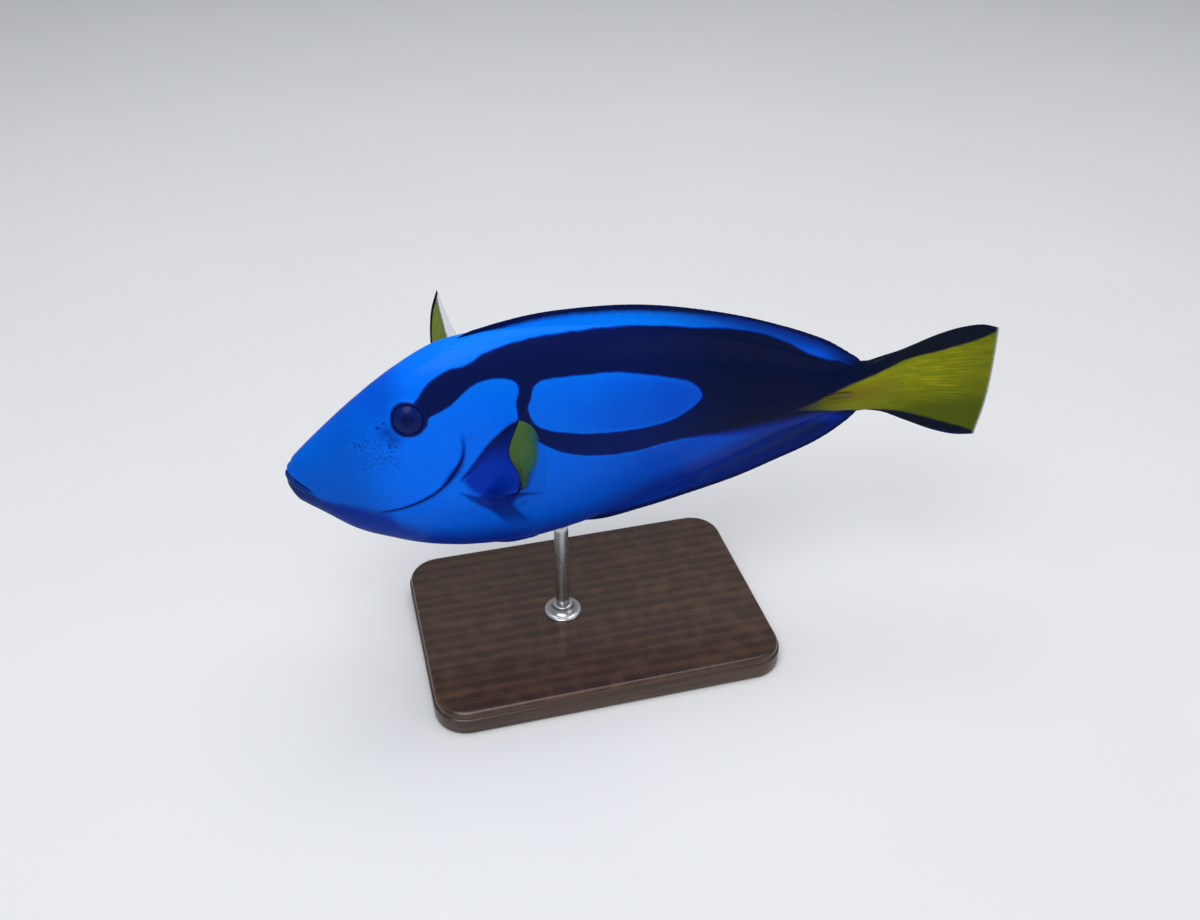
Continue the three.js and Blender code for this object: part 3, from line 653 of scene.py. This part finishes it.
def fish_colour(s):
    """The blue, navy and yellow of the fish, with painted shade and painted shadow, from the fields that
    markings() gives.
    """
    names = ("station", "height", "under", "axil", "lore")
    station, height, under, axil, lore = (s.field(name) for name in names)
    blotch = s.noise(95, 2)
    wobble = s.waver(230, 2.5, 0.8)
    dark = s.calc("ADD", s.field("dark"), wobble)
    # Painted shade under the head and body: depth below its line, over a softness that widens towards the
    # rear.
    throat = s.calc("DIVIDE", under, s.ramp(station, 6, 55, 1.4, 7))
    blue = s.washed(
        SNOUT_BLUE,
        (AZURE, (station, 16, 36)),
        (BROW_BLUE, (height, 8, 26), (station, 43, 32), 0.7),
        (BRIGHT, (height, 20, 34), (station, 36, 60)),
        (FLANK_BLUE, (station, 66, 134), (height, 32, 12)),
        (BACK_REAR, (station, 112, 165), (height, 12, 22)),
        # Painted shade: darker towards the belly, darker still below the shade line, darkest at the jaw.
        (BELLY_SHADE, (height, -4, -34), 0.4),
        (s.washed(BELLY_SHADE, (JAW_SHADE, (station, 18, 3))), (throat, -0.9, 1), 0.92),
        (BRIGHT, (blotch, 0.35, 0.75), 0.08),
        # Painted shade: the lower rear body darker towards the bottom and below the shade line.
        (REAR_SHADE, (station, 140, 186), (height, -1, -13)),
        (REAR_SHADE, (under, 4, 11), (station, 118, 155), 0.6),
        (LORE_BLUE, (lore, 5.8, 1.2), (s.noise(420, 3), 0.3, 0.65, 0.45, 1), 0.85),
        (BRIGHT, (dark, -2.2, -0.6), (station, 150, 110), (axil, 0, -2), 0.3),
        # The axil: the fish's own dark blue above, painted shadow of the pectoral fin in its lower part.
        (s.washed(AXIL_BLUE, (AXIL_DEEP, (height, -3, 9))), (axil, -0.8, 2.2), (height, -18, -12)),
        # Painted shadow below the pectoral fin's root.
        (STRIPE_BLUE, (s.field("fold"), -1, 0.9), (height, -35, -22), 0.9),
        (FRECKLE, freckles(s, station, height), (lore, 18, 4, 0.45, 1), (blotch, 0.3, 0.6, 0.5, 1)),
    )

    low_rear = s.times(s.ramp(station, 118, 182), s.ramp(height, 3, -4))
    share = s.calc("DIVIDE", dark, s.ramp(low_rear, 0, 1, 0.5, 4.5))
    navy = s.washed(
        BAND_NAVY,
        (BAND_UNDER, (height, 9, 1)),
        (STRIPE_BLUE, (height, 11, 2), (station, 76, 68)),
        (BAND_REAR, (station, 108, 160)),
        (TAIL_BLACK, (station, 190, 214)),
    )

    streaks = s.noise(60, 4, 0.6, s.place((1, 6, 9)))
    root = s.times(s.ramp(station, 220, 200), s.ramp(height, -7, -1), s.ramp(height, 5, 0))
    yellow = s.washed(
        TAIL_YELLOW,
        (TAIL_GOLD, (streaks, 0.38, 0.72), 0.75),
        # Painted shade: the lower half of the tail fin near its root darker olive, as where the fin faces
        # down.
        (TAIL_OLIVE, (height, 3, -12), (station, 200, 222), 0.9),
        (TAIL_OLIVE, (station, 226, 246), 0.4),
        (WEDGE_ORANGE, root, (streaks, 0.3, 0.6, 0.45, 0.9)),
        (TAIL_OLIVE, (station, 200, 180), 0.85),
    )
    edge = s.calc("ADD", s.field("yellow"), s.times(wobble, 0.9))
    return s.washed(
        blue,
        (RIM_BLUE, (share, -1, 0.2), (axil, 1, -1)),
        (navy, (share, -0.3, 1)),
        (navy, (station, 182, 199), (height, 4, 8)),
        (yellow, (edge, -0.6, 0.7), (station, 171, 188)),
    )


def skin_material():
    s = Shader("skin", Roughness=0.4, Coat_Weight=0.07, Coat_Roughness=0.2, **SATIN)
    # Painted shade in the creases: the gill opening, the gape and the nostril pits.
    crease = s.washed(JAW_SHADE, (GILL_SHADE, (s.field("station"), 14, 20)))
    scales = s.cells(1750, s.place((1, 1, 0.8)), feature="SMOOTH_F1")
    s.set("Base Color", s.washed(
        fish_colour(s),
        (crease, (s.field("crease"), 0, 1), 0.96),
        (BLACK, s.red(scales.outputs["Color"]), 0.06),
        (BLACK, (s.noise(2600, 2), 0.3, 0.75), 0.08),
    ))
    s.set("Roughness", s.ramp(s.noise(420, 3), 0.3, 0.7, 0.34, 0.46))
    fine = s.bump(scales.outputs["Distance"], 0.00008, 0.9)
    s.set("Normal", s.bump(s.noise(260, 3), 0.00012, 0.5, Normal=fine))
    return s.material


def fin_material(name, ray_tone, clear_edge=0):
    """A fin of the body's own colours, with raised rays and a black border from its margin field."""
    s = Shader(name, Roughness=0.42, Coat_Weight=0.06, Coat_Roughness=0.25, **SATIN)
    margin = s.calc("ADD", s.field("margin"), s.waver(300, 2, 0.7))
    start = s.ramp(s.field("station"), 125, 165, -1.3, -4.2)
    colour = s.washed(
        fish_colour(s),
        (BLACK, (s.field("ray"), 0.2, 0.9), ray_tone),
        (MARGIN_NAVY, (margin, start, 0.4), 0.8),
        (FIN_BLACK, (margin, -0.2, 0.7)),
    )
    if clear_edge:
        last = s.ramp(s.field("rim"), 1.1, 0.2)
        colour = s.washed(colour, (CLEAR_GREY, last, 0.8))
        s.set("Alpha", s.calc("SUBTRACT", 1, s.times(last, clear_edge)))
    s.set("Base Color", colour)
    s.set("Normal", s.bump(s.noise(900, 3, 0.6), 0.00006, 0.5))
    return s.material


def pectoral_material():
    """Dark blue at the root, an olive yellow blade behind a black leading ray, and a clear rear web."""
    sheen = {"Specular_IOR_Level": 0.03, "Coat_Weight": 0.05, "Coat_Roughness": 0.25}
    s = Shader("pectoral_fin", Roughness=0.42, **sheen)
    across, out, ray = s.field("across"), s.field("out"), s.field("ray")
    wave = s.waver(140, 3, 0.1)
    inside = s.calc("ADD", s.field("blade"), wave)
    beyond = s.calc("ADD", out, wave)
    blade = s.times(s.ramp(inside, -0.05, 0.07), s.ramp(beyond, 0.47, 0.56))
    # Painted light: the near fin's blade in the shaded colours, the far fin's in the lit colours.
    near, far = (
        s.washed(rear, (front, (inside, 0.02, 0.3)))
        for rear, front in ((SHADED_GREEN, SHADED_YELLOW), (LIT_GREEN, LIT_YELLOW))
    )
    leading = s.times(s.ramp(s.field("lead"), 1, 0.75), s.ramp(out, 0.28, 0.45))
    s.set("Base Color", s.washed(
        AXIL_BLUE,
        (s.washed(AXIL_DEEP, (STEM_BLUE, (across, 0.1, 0.8))), (beyond, 0.04, 0.26)),
        (WEB_BLUE, (beyond, 0.46, 0.6)),
        (s.washed(near, (far, s.field("warm"))), blade),
        (BLACK, (ray, 0.2, 0.9), blade, 0.112),
        (LEADING_BLACK, leading),
    ))
    fade = s.calc("ADD", beyond, s.times(across, 0.2))
    solid = s.calc("MAXIMUM", s.times(blade, 0.84), s.ramp(fade, 0.58, 0.36))
    solid = s.calc("MAXIMUM", solid, leading)
    s.set("Alpha", s.calc("MAXIMUM", solid, s.ramp(ray, 0.2, 0.9, 0.08, 0.12)))
    s.set("Normal", s.bump(s.noise(900, 3, 0.6), 0.00006, 0.5))
    return s.material


def eye_material():
    """A dark glass eye: a streaked navy iris round a pupil that hardly differs from it."""
    s = Shader("eye", Roughness=0.3, Specular_IOR_Level=0.02, Coat_Weight=0.13, Coat_Roughness=0.05)
    iris = s.washed(IRIS[0], (IRIS[1], (s.noise(900, 4, 0.6), 0.35, 0.7)))
    s.set("Base Color", s.washed(iris, (PUPIL, (s.field("radius"), 2.35, 1.9))))
    return s.material


def blade_material():
    s = Shader("blade", Roughness=0.34, Specular_IOR_Level=0.2, Coat_Weight=0.08, Coat_Roughness=0.2)
    tone = s.washed(HORN[0], (HORN[1], (s.noise(700, 3), 0.3, 0.7)))
    s.set("Base Color", s.mix(s.ramp(s.field("share"), 0.5, 0), tone, HORN_POINT))
    s.set("Normal", s.bump(s.noise(1500, 2), 0.00003, 0.4))
    return s.material


def wood_material():
    """Dark stained wood along X under satin lacquer, a little paler where its edges are worn."""
    s = Shader("stand_wood", Roughness=0.34, Specular_IOR_Level=0.4, Coat_Weight=0.35, Coat_Roughness=0.18)
    grain = s.noise(110, 8, 0.68, s.place((0.1, 9, 9)))
    pores = s.noise(150, 4, 0.6, s.place((0.6, 20, 20)))
    wave = {"Scale": 62, "Distortion": 3.5, "Detail": 2, "Detail Scale": 0.6}
    wave["Vector"] = s.place((0.1, 1, 1))
    figure = s.node("TexWave", wave, bands_direction="Y").outputs["Fac"]
    s.set("Base Color", s.washed(
        WOOD_BROWN[0],
        (WOOD_BROWN[1], (figure, 0, 1)),
        (WOOD_GRAIN, (grain, 0.4, 0.62), 0.62),
        (WOOD_PORE, (pores, 0.58, 0.7), 0.75),
        (WOOD_WORN, s.field("edge"), (s.noise(160, 3), 0.4, 0.7), 0.4),
    ))
    s.set("Roughness", s.ramp(grain, 0.3, 0.8, 0.3, 0.46))
    s.set("Normal", s.bump(pores, 0.0001, 0.3))
    return s.material


def steel_material():
    """Turned steel, with fine marks that run round it."""
    s = Shader("stand_steel", Metallic=1, Roughness=0.28)
    around = s.node("VectorMath", {0: s.place(), 3: 60}, operation="SCALE").outputs[0]
    marks = s.node("CombineXYZ", {"X": s.times(s.field("way"), 7)}).outputs[0]
    turned = s.node("VectorMath", {0: marks, 1: around}, operation="ADD").outputs[0]
    brush = s.noise(1, 5, 0.6, turned)
    s.set("Base Color", s.washed(STEEL[0], (STEEL[1], (brush, 0.3, 0.7))))
    s.set("Roughness", s.ramp(brush, 0.3, 0.7, 0.24, 0.33))
    s.set("Normal", s.bump(brush, 0.00003, 0.08))
    return s.material


# The skin: one surface from the lips to the root of the tail fin.
def skin_stations():
    nose = SNOUT + NOSE_ROUND * (1 - np.cos(np.linspace(0.05, 1, 24) * math.pi / 2))
    head = np.arange(nose[-1] + 0.3, 62, 0.34)
    trunk = np.arange(head[-1] + 0.5, 200, 0.62)
    tail = np.arange(trunk[-1] + 0.5, TAIL_ROOT_END, 0.5)
    return np.concatenate([nose, head, trunk, tail])


def even_angles(count):
    """Angles that step evenly round a tall narrow section."""
    fine = np.linspace(0, 2 * math.pi, 4001)
    speed = np.hypot(15 * np.sin(fine), 40 * np.cos(fine))
    way = np.concatenate([[0], np.cumsum((speed[1:] + speed[:-1]) / 2)])
    return np.interp(np.arange(count) / count, way / way[-1], fine)


def skin_grid():
    """Points of the straight body, continued as the fleshy root of the tail fin."""
    x, angle = np.meshgrid(skin_stations(), even_angles(SKIN_POINTS), indexing="ij")
    middle, top, bottom, half, power = section(x)
    low = np.sin(angle) < 0
    power = power - np.where(low, KEEL["below"], KEEL["above"]) * smooth(x, 92, 135) * smooth(x, 206, 196)
    power = power - np.where(low, KEEL["throat"], 0) * smooth(x, 48, 24)
    tail = smooth(x, 199, 207)
    top = top + (profile(TAIL_TOP, x) - 0.45 - top) * tail
    bottom = bottom + (profile(TAIL_BOTTOM, x) + 0.45 - bottom) * tail
    half = half * (1 - smooth(x, BODY_END, TAIL_ROOT_END + 0.12))
    side, up = np.cos(angle), np.sin(angle)
    out = np.sign(side) * half * np.abs(side) ** (2 / power)
    reach = np.abs(up) ** (2 / power)
    z = np.where(up >= 0, middle + (top - middle) * reach, middle - (middle - bottom) * reach)
    return np.stack([x, out, z], -1)


def gill_relief(x, z):
    distance, side = line_distance(GILL, x, z)
    ahead = distance * -side
    shown = smooth(z, 13, 9)
    cover = GILL_COVER_RISE * smooth(x, 30, 54)
    stepped = cover * smooth(ahead, -0.3, 0.3)
    faded = cover * (1 - smooth(x, 50, 66))
    rise = stepped * shown + faded * (1 - shown)
    lip = 0.3 * hump(ahead, 1.0, 0.7)
    groove = -0.75 * hump(ahead, -0.4, 0.36) - 0.35 * hump(ahead, -2.0, 1.3)
    crease = -0.1 * hump(ahead, 9.5, 1.1) * smooth(z, -26, -16) * smooth(z, 12, 6)
    return rise + (lip + groove) * shown * smooth(x, 22, 33) + crease


def painted_crease_shade(x, z):
    """How much painted shade lies in the gill opening, the gape and the nostril pits, 0 to 1."""
    distance, side = line_distance(GILL, x, z)
    wide = 0.42 + 0.3 * smooth(z, 10, -2) + 0.5 * hump(z, -2.2, 2.6) - 0.15 * smooth(z, -12, -18)
    gill = hump(distance * -side, -0.35, wide) * smooth(z, 15, 1) * smooth(x, 23, 32)
    distance, _ = line_distance(MOUTH, x, z)
    gape = hump(distance, 0, 0.34) * smooth(x, 7.5, 5.5)
    pits = sum(1 - smooth(np.hypot(x - a, z - b) / radius, 0.3, 1.1) for a, b, radius in NOSTRILS)
    return np.minimum(1, gill + gape + 0.75 * pits)


def mouth_relief(x, z):
    distance, side = line_distance(MOUTH, x, z)
    above = distance * side
    lips = smooth(x, 7.2, 3.6)
    gape = smooth(x, 6.4, 5.0)
    relief = 0.34 * hump(above, 1.2, 0.8) + 0.4 * hump(above, -1.15, 0.65)
    relief -= 0.12 * hump(above, 2.9, 0.6) + 0.14 * hump(above, -2.7, 0.55)
    return relief * lips - 0.85 * hump(above, 0, 0.2) * gape


def eye_relief(points):
    relief = np.zeros(points.shape[:-1])
    for side in (-1, 1):
        centre, normal = eye_place(side)
        away = points - centre
        flat = away - (away @ normal)[..., None] * normal
        r = np.linalg.norm(flat, axis=-1)
        here = (points[..., 1] * side > 0) & (r < 14)
        ring = -2.3 * (1 - smooth(r, 4.0, 4.85)) + 0.5 * hump(r, 5.25, 0.4) - 0.14 * hump(r, 7.4, 0.9)
        relief += np.where(here, ring, 0)
    return relief


def nostril_relief(x, z):
    relief = np.zeros(x.shape)
    for station, height, radius in NOSTRILS:
        r = np.hypot(x - station, z - height) / radius
        relief += -0.8 * (1 - smooth(r, 0.35, 1.05)) + 0.1 * hump(r, 1.5, 0.3)
    return relief


def blade_relief(x, z):
    """The groove that a tail blade lies in."""
    r = np.hypot((x - BLADE["middle"]) / 6.6, (z - BLADE["height"]) / 1.7)
    return -0.6 * (1 - smooth(r, 0.6, 1.05)) + 0.05 * hump(r, 1.2, 0.14)


def shoulder_relief(x, z):
    """The pad of muscle at the root of the pectoral fin, with the folds round it."""
    relief = 0.7 * hump(x, 58, 4.2) * hump(z, -15.5, 5.5)
    for crease in CREASES:
        distance, _ = line_distance(traced(crease, 5), x, z)
        relief -= 0.3 * hump(distance, 0, 0.55)
    return relief


def swell(x, z):
    """Slight unevenness of a real flank."""
    waves = np.sin(x * 0.21 + z * 0.13) * np.sin(z * 0.24 - x * 0.07 + 1.3)
    waves += 0.5 * np.sin(x * 0.55 - z * 0.31 + 0.4) * np.sin(z * 0.6 + x * 0.17)
    return 0.07 * waves * smooth(x, 10, 30) * smooth(x, 200, 180)


def build_skin(material):
    points = skin_grid()
    x, z = points[..., 0], points[..., 2]
    around = np.roll(points, -1, 1) - np.roll(points, 1, 1)
    along = np.gradient(points, axis=0)
    normal = unit(np.cross(around, along))
    on_side = smooth(np.abs(points[..., 1]), 0, 3)
    relief = gill_relief(x, z) * on_side + mouth_relief(x, z) + eye_relief(points)
    relief += (nostril_relief(x, z) + blade_relief(x, z) + shoulder_relief(x, z)) * on_side + swell(x, z)
    fade = smooth(x, TAIL_ROOT_END, 200)
    shaped = points + normal * (relief * fade)[..., None]
    rings, count = x.shape
    faces = ring_faces(rings, count)
    first = rings * count
    last = (rings - 1) * count
    for j in range(count):
        k = (j + 1) % count
        faces.append((first, k, j))
        faces.append((first + 1, last + j, last + k))
    nose = [SNOUT, 0, section(np.array(SNOUT))[0]]
    ends = np.array([nose, [TAIL_ROOT_END + 0.3, 0, points[-1, :, 2].mean()]])
    whole = to_model(bend(np.vstack([shaped.reshape(-1, 3), ends])))
    piece = make_piece("skin", whole, faces, material, ("head", "lower_jaw", "trunk", "tail_stem"))
    x, _, z = np.vstack([points.reshape(-1, 3), ends]).T
    # crease: painted shade in the gill opening, the gape and the nostril pits
    store(piece, {**markings(x, z), "crease": painted_crease_shade(x, z)})


# Fins.
def thin_edge(u, v):
    """1 in a fin's web, less at its free edges, so that they are fine."""
    return (1 - 0.6 * smooth(v, 0.93, 1)) * (1 - 0.6 * smooth(np.abs(2 * u - 1), 0.985, 1))


def middle_fin(node, root, height, edge, lean, rays, material, margin):
    """A fin along the middle plane, from a root line sunk in the body to its edge line."""
    forks = ((0.45, 0.95),)
    depths = rng.uniform(0.4, 1.0, rays + 1)

    def surface(u, v):
        x = root[0] + (root[1] - root[0]) * u
        edge_x = x + profile(lean, u)
        low = height(x)
        high = profile(edge, edge_x) - low
        cut = 0.05 * notches(u, rays, forks, depths) * smooth(v, 0.8, 1)
        reach = v * (1 - cut / np.maximum(np.abs(high), 3))
        sway = 0.15 * np.sin(u * 17 + v * 1.5) * smooth(v, 0.2, 1)
        return np.stack([x + (edge_x - x) * reach, sway, low + high * reach], -1)

    def half(u, v, ray):
        flesh = (1.5 - WEB_HALF) * (1 - smooth(v, 0.15, 0.6))
        rise = ray * 0.15 * (1 - 0.5 * v) * smooth(v, 0.35, 0.75) * (1 - 0.8 * smooth(v, 0.8, 1))
        return (WEB_HALF + flesh + rise) * thin_edge(u, v)

    def fields(u, v, ray, x, z):
        return {**markings(x, z), "ray": ray * smooth(v, 0.3, 0.6), "margin": margin(x, z)}

    sheet(node, surface, half, fields, rays, forks, 12, 44, material)


def build_tail(material):
    rays = 16
    forks = ((0.28, 0.62), (0.6, 0.95))
    depths = rng.uniform(0.2, 1.0, rays * 4 + 1)

    def surface(u, v):
        rear = TAIL_REAR + 1.5 * np.sin(math.pi * u) + 0.8 * u
        ragged = 0.35 * notches(u, rays, forks, depths)
        x = TAIL_START + (rear - ragged * smooth(v, 0.9, 1) - TAIL_START) * v
        low, high = profile(TAIL_BOTTOM, x), profile(TAIL_TOP, x)
        sway = 0.25 * np.sin(u * 9 + v * 2) * smooth(v, 0.4, 1)
        return np.stack([x, sway, low + (high - low) * u], -1)

    def half(u, v, ray):
        to_side = np.abs(2 * u - 1)
        border = 0.28 * smooth(to_side, 0.86, 0.95) * (1 - 0.5 * v)
        ridge = ray * (1 - 0.7 * smooth(to_side, 0.45, 0.8))
        rise = ridge * 0.27 * (1 - 0.6 * v) * smooth(v, 0.3, 0.62)
        return (WEB_HALF + border + rise) * thin_edge(u, v)

    def fields(u, v, ray, x, z):
        ray = ray * smooth(v, 0.4, 0.75)
        return {**markings(x, z), "ray": ray, "margin": np.full(x.shape, -5.0), "rim": (1 - v) * 47}

    sheet("tail_fin", surface, half, fields, rays, forks, 22, 96, material)


def build_pectoral(word, material):
    rays = 16
    forks = ((0.35, 0.75), (0.75, 1.0))
    blank = patch(*PECTORALS[word])
    depths = rng.uniform(0.3, 1.0, rays + 1)

    def surface(u, v):
        return blank(u, v * (1 - 0.008 * notches(u, rays, forks, depths) * smooth(v, 0.85, 1)))

    def half(u, v, ray):
        ridge = ray * smooth(v, 0.3, 0.55)
        flesh = 1.9 * (1 - smooth(v, 0.1, 0.45)) * np.sqrt(np.maximum(0, 1 - (2 * u - 1) ** 2))
        leading = 0.5 * (1 - smooth(u, 0, 0.06)) * (1 - 0.7 * v)
        return (WEB_HALF * 0.9 + ridge * 0.28 * (1 - 0.6 * v)) * thin_edge(u, v) + flesh + leading

    def fields(u, v, ray, x, z):
        look = YELLOW[word]
        narrowed = 1 - look["taper"] * smooth(v, look["from"], 1.0)
        reach = look["wide"] * narrowed - 0.08 * smooth(v, 0.7, 0.5)
        return {
            "across": u,
            "out": v,
            "ray": ray * smooth(v, 0.3, 0.55),
            "blade": reach - u,
            "lead": u / (0.06 - 0.035 * v),
            # painted light: 1 paints the blade as lit, 0 as in shade
            "warm": np.full(u.shape, look["warm"]),
        }

    sheet("pectoral_fin_" + word, surface, half, fields, rays, forks, 14, 84, material)


def build_pelvic(word, side, material):
    surface = patch(*[[(x, y * side, z) for x, y, z in line] for line in PELVIC])

    def half(u, v, ray):
        rise = ray * 0.24 * (1 - 0.6 * v) * smooth(v, 0.2, 0.5)
        return (WEB_HALF + rise) * thin_edge(u, v) + 0.6 * (1 - smooth(v, 0.1, 0.5))

    def fields(u, v, ray, x, z):
        return {**markings(x, z), "ray": ray, "margin": 1.4 - u * 4}

    sheet("pelvic_fin_" + word, surface, half, fields, 4, ((0.4, 0.9),), 14, 40, material)


# Eyes and tail blades.
def build_eye(word, side, material):
    centre, normal = eye_place(side)
    centre = centre - normal * EYE["sunk"]
    rings, around = 40, 96
    t, a = np.meshgrid(np.linspace(0.02, 0.98, rings) * math.pi, even_turn(around), indexing="ij")
    flat = EYE["radius"] * np.sin(t)
    lens = 0.22 * (1 - smooth(flat, 0.6, 4.4)) * (np.cos(t) > 0)
    out = EYE["dome"] * np.cos(t) + lens
    first = unit(np.cross((0, 0, 1), normal))
    second = np.cross(normal, first)
    wide = (np.cos(a) * flat)[..., None] * first + (np.sin(a) * flat)[..., None] * second
    points = centre + wide + out[..., None] * normal
    faces = [face[::-1] for face in tube_faces(rings, around)]
    node = "eye_" + word
    piece = make_piece(node + "_glass", to_model(bend(points)), faces, material, (node,))
    store(piece, {"radius": flat})


def build_blade(word, side, material):
    """A flat pointed spine that lies in its groove, point forward."""
    middle, length, height = BLADE["middle"], BLADE["length"], BLADE["height"]
    rings, around = 40, 28
    share, a = np.meshgrid(np.linspace(0.004, 0.998, rings), even_turn(around), indexing="ij")
    rounded = share**0.6 * np.sqrt(1 - share**6)
    sharp = np.sign(np.cos(a)) * np.abs(np.cos(a)) ** 1.5
    along = length * (share - 0.5)
    slope = (flank(middle + length / 2, height) - flank(middle - length / 2, height)) / length
    y = side * (flank(middle, height) - BLADE["sunk"] + slope * along) + BLADE["half"] * rounded * sharp
    z = height + BLADE["tall"] * 0.46 * rounded * np.sin(a)
    points = np.stack([middle + along, y, z], -1)
    node = "tail_blade_" + word
    faces = tube_faces(rings, around)
    piece = make_piece(node + "_horn", to_model(bend(points)), faces, material, (node,))
    store(piece, {"share": share})


# The stand.
def quarter_turn(steps):
    """The cosine and sine at even steps of a quarter turn."""
    turns = [i / steps * math.pi / 2 for i in range(steps + 1)]
    return [(math.cos(turn), math.sin(turn)) for turn in turns]


def rounded_outline(inset):
    """A rectangle with round corners, inset from the base's own outline."""
    x, y, r = BASE["length"] / 2 - inset, BASE["width"] / 2 - inset, BASE["corner"] - inset
    found = []
    for quarter, (sx, sy) in enumerate(((1, 1), (-1, 1), (-1, -1), (1, -1))):
        for i in range(CORNER_STEPS + 1):
            turn = (quarter + i / CORNER_STEPS) * math.pi / 2
            found.append((sx * (x - r) + r * math.cos(turn), sy * (y - r) + r * math.sin(turn)))
    return np.array(found)


def base_profile():
    """Insets and heights up the side of the base, with its edges rounded over a small step."""
    bevel, height = BASE["bevel"], BASE["height"]
    found = [(0.9, 0.0)] + [(0.9 * (1 - up), 0.9 * (1 - along)) for along, up in quarter_turn(5)]
    found += [(0, height - 2.9), (0.08, height - 2.7), (0.5, height - 2.65), (0.55, height - 2.5)]
    found += [(0.6 + bevel * (1 - along), height - bevel + bevel * up) for along, up in quarter_turn(8)]
    return found + [(3.2, height)]


def build_base(material):
    outlines = [(rounded_outline(inset), z) for inset, z in base_profile()]
    around = len(outlines[0][0])
    points = np.array([np.column_stack([outline, np.full(around, z)]) for outline, z in outlines])
    faces = tube_faces(len(outlines), around)
    piece = make_piece("stand_plinth", points * MM, faces, material, ("stand_base",))
    for polygon in piece.data.polygons[-2:]:
        polygon.use_smooth = False
    edge = [hump(z, BASE["height"] - 0.6, 0.5) + hump(z, 0.4, 0.3) for _, z in base_profile()]
    store(piece, {"edge": np.repeat(edge, around)})


def lathe(name, outline, material, stands_for=()):
    """A turned piece of steel round the rod's own axis, from (radius, height) pairs."""
    turn = even_turn(72)
    outline = np.array(outline, float)
    radius, z = outline.T[..., None]
    x = ROD["station"] - ORIGIN_STATION + radius * np.cos(turn)
    points = np.stack([x, radius * np.sin(turn), np.broadcast_to(z, x.shape)], -1)
    faces = tube_faces(len(outline), len(turn))
    piece = make_piece(name, points * MM, faces, material, stands_for)
    steps = np.hypot(*np.diff(outline, axis=0).T)
    store(piece, {"way": np.repeat(np.concatenate([[0], np.cumsum(steps)]), len(turn))})


def build_rod(material):
    floor = BASE["height"]
    belly = float(section(np.array(float(ROD["station"])))[2]) + AXIS_HEIGHT
    r, boss = ROD["radius"], ROD["boss"]
    neck, top = r + 1.2, floor + ROD["boss_height"]
    collar = [(boss - 0.2, floor - 0.4), (boss, floor + 0.1), (boss, floor + 0.7)]
    collar.append((boss - 0.25, floor + 1.05))
    for along, up in quarter_turn(8):
        out = neck + (boss - 0.7 - neck) * (1 - up)
        collar.append((out, floor + 1.1 + (ROD["boss_height"] - 1.4) * (1 - along)))
    collar += [(neck, top - 0.2), (neck - 0.2, top), (r, top)]
    lathe("stand_collar", collar, material)
    rod = [(r, top - 0.5), (r, top + 3), (r, belly - 2), (r, belly + 0.4), (r - 0.2, belly + 0.8)]
    lathe("stand_post", rod, material, ("stand_rod",))


# Studio.
def build_floor():
    square = np.array([(-1, -1, 0), (1, -1, 0), (1, 1, 0), (-1, 1, 0)])
    corners = square * FLOOR_REACH - (0, 0, FLOOR_DROP)
    s = Shader("floor", Roughness=0.75, Specular_IOR_Level=0.2)
    s.set("Base Color", s.mix(s.noise(6, 3.0), *FLOOR))
    add_object("floor", make_mesh("floor", corners, [(0, 1, 2, 3)], s.material))


def add_light(name, place, size, power):
    light = bpy.data.lights.new(name, "AREA")
    light.shape = "DISK"
    light.size = size
    light.energy = power
    thing = add_object(name, light)
    thing.location = place
    thing.rotation_mode = "QUATERNION"
    thing.rotation_quaternion = (Vector(LIT_POINT) - Vector(place)).to_track_quat("-Z", "Y")


def build_studio():
    for light in LIGHTS:
        add_light(*light)
    world = bpy.data.worlds.new("studio")
    world.use_nodes = True
    sky = world.node_tree.nodes["Background"]
    sky.inputs["Color"].default_value = SKY
    sky.inputs["Strength"].default_value = 0.34
    bpy.context.scene.world = world
    bpy.context.scene.view_settings.view_transform = "Standard"


def build_camera():
    camera = bpy.data.cameras.new("camera")
    camera.lens = CAMERA["lens"]
    camera.sensor_width = CAMERA["sensor"]
    camera.clip_start = 0.01
    thing = add_object("camera", camera)
    back = [-value for value in CAMERA["forward"]]
    turn = Matrix([CAMERA["right"], CAMERA["up"], back]).transposed()
    thing.matrix_world = Matrix.Translation(CAMERA["place"]) @ turn.to_4x4()
    bpy.context.scene.camera = thing


build_skin(skin_material())
blue_fin = fin_material("blue_fin", 0.042)
middle_fin(
    "dorsal_fin", (55, 188), lambda x: profile(BACK, x) - FIN_SUNK, DORSAL_EDGE, DORSAL_LEAN, 29,
    blue_fin, lambda x, z: (z - profile(DORSAL_MARGIN, x)) * 0.95,
)
middle_fin(
    "anal_fin", (98, 187), lambda x: profile(BELLY, x) + FIN_SUNK, ANAL_EDGE, ANAL_LEAN, 22,
    blue_fin, lambda x, z: 1.9 - (z - profile(ANAL_EDGE, x)) * 0.95,
)
build_tail(fin_material("tail_fin", 0.06, clear_edge=0.5))
pectoral = pectoral_material()
eye = eye_material()
horn = blade_material()
for word, side in (("left", -1), ("right", 1)):
    build_pectoral(word, pectoral)
    build_pelvic(word, side, blue_fin)
    build_eye(word, side, eye)
    build_blade(word, side, horn)
build_base(wood_material())
build_rod(steel_material())
build_floor()
build_studio()
build_camera()
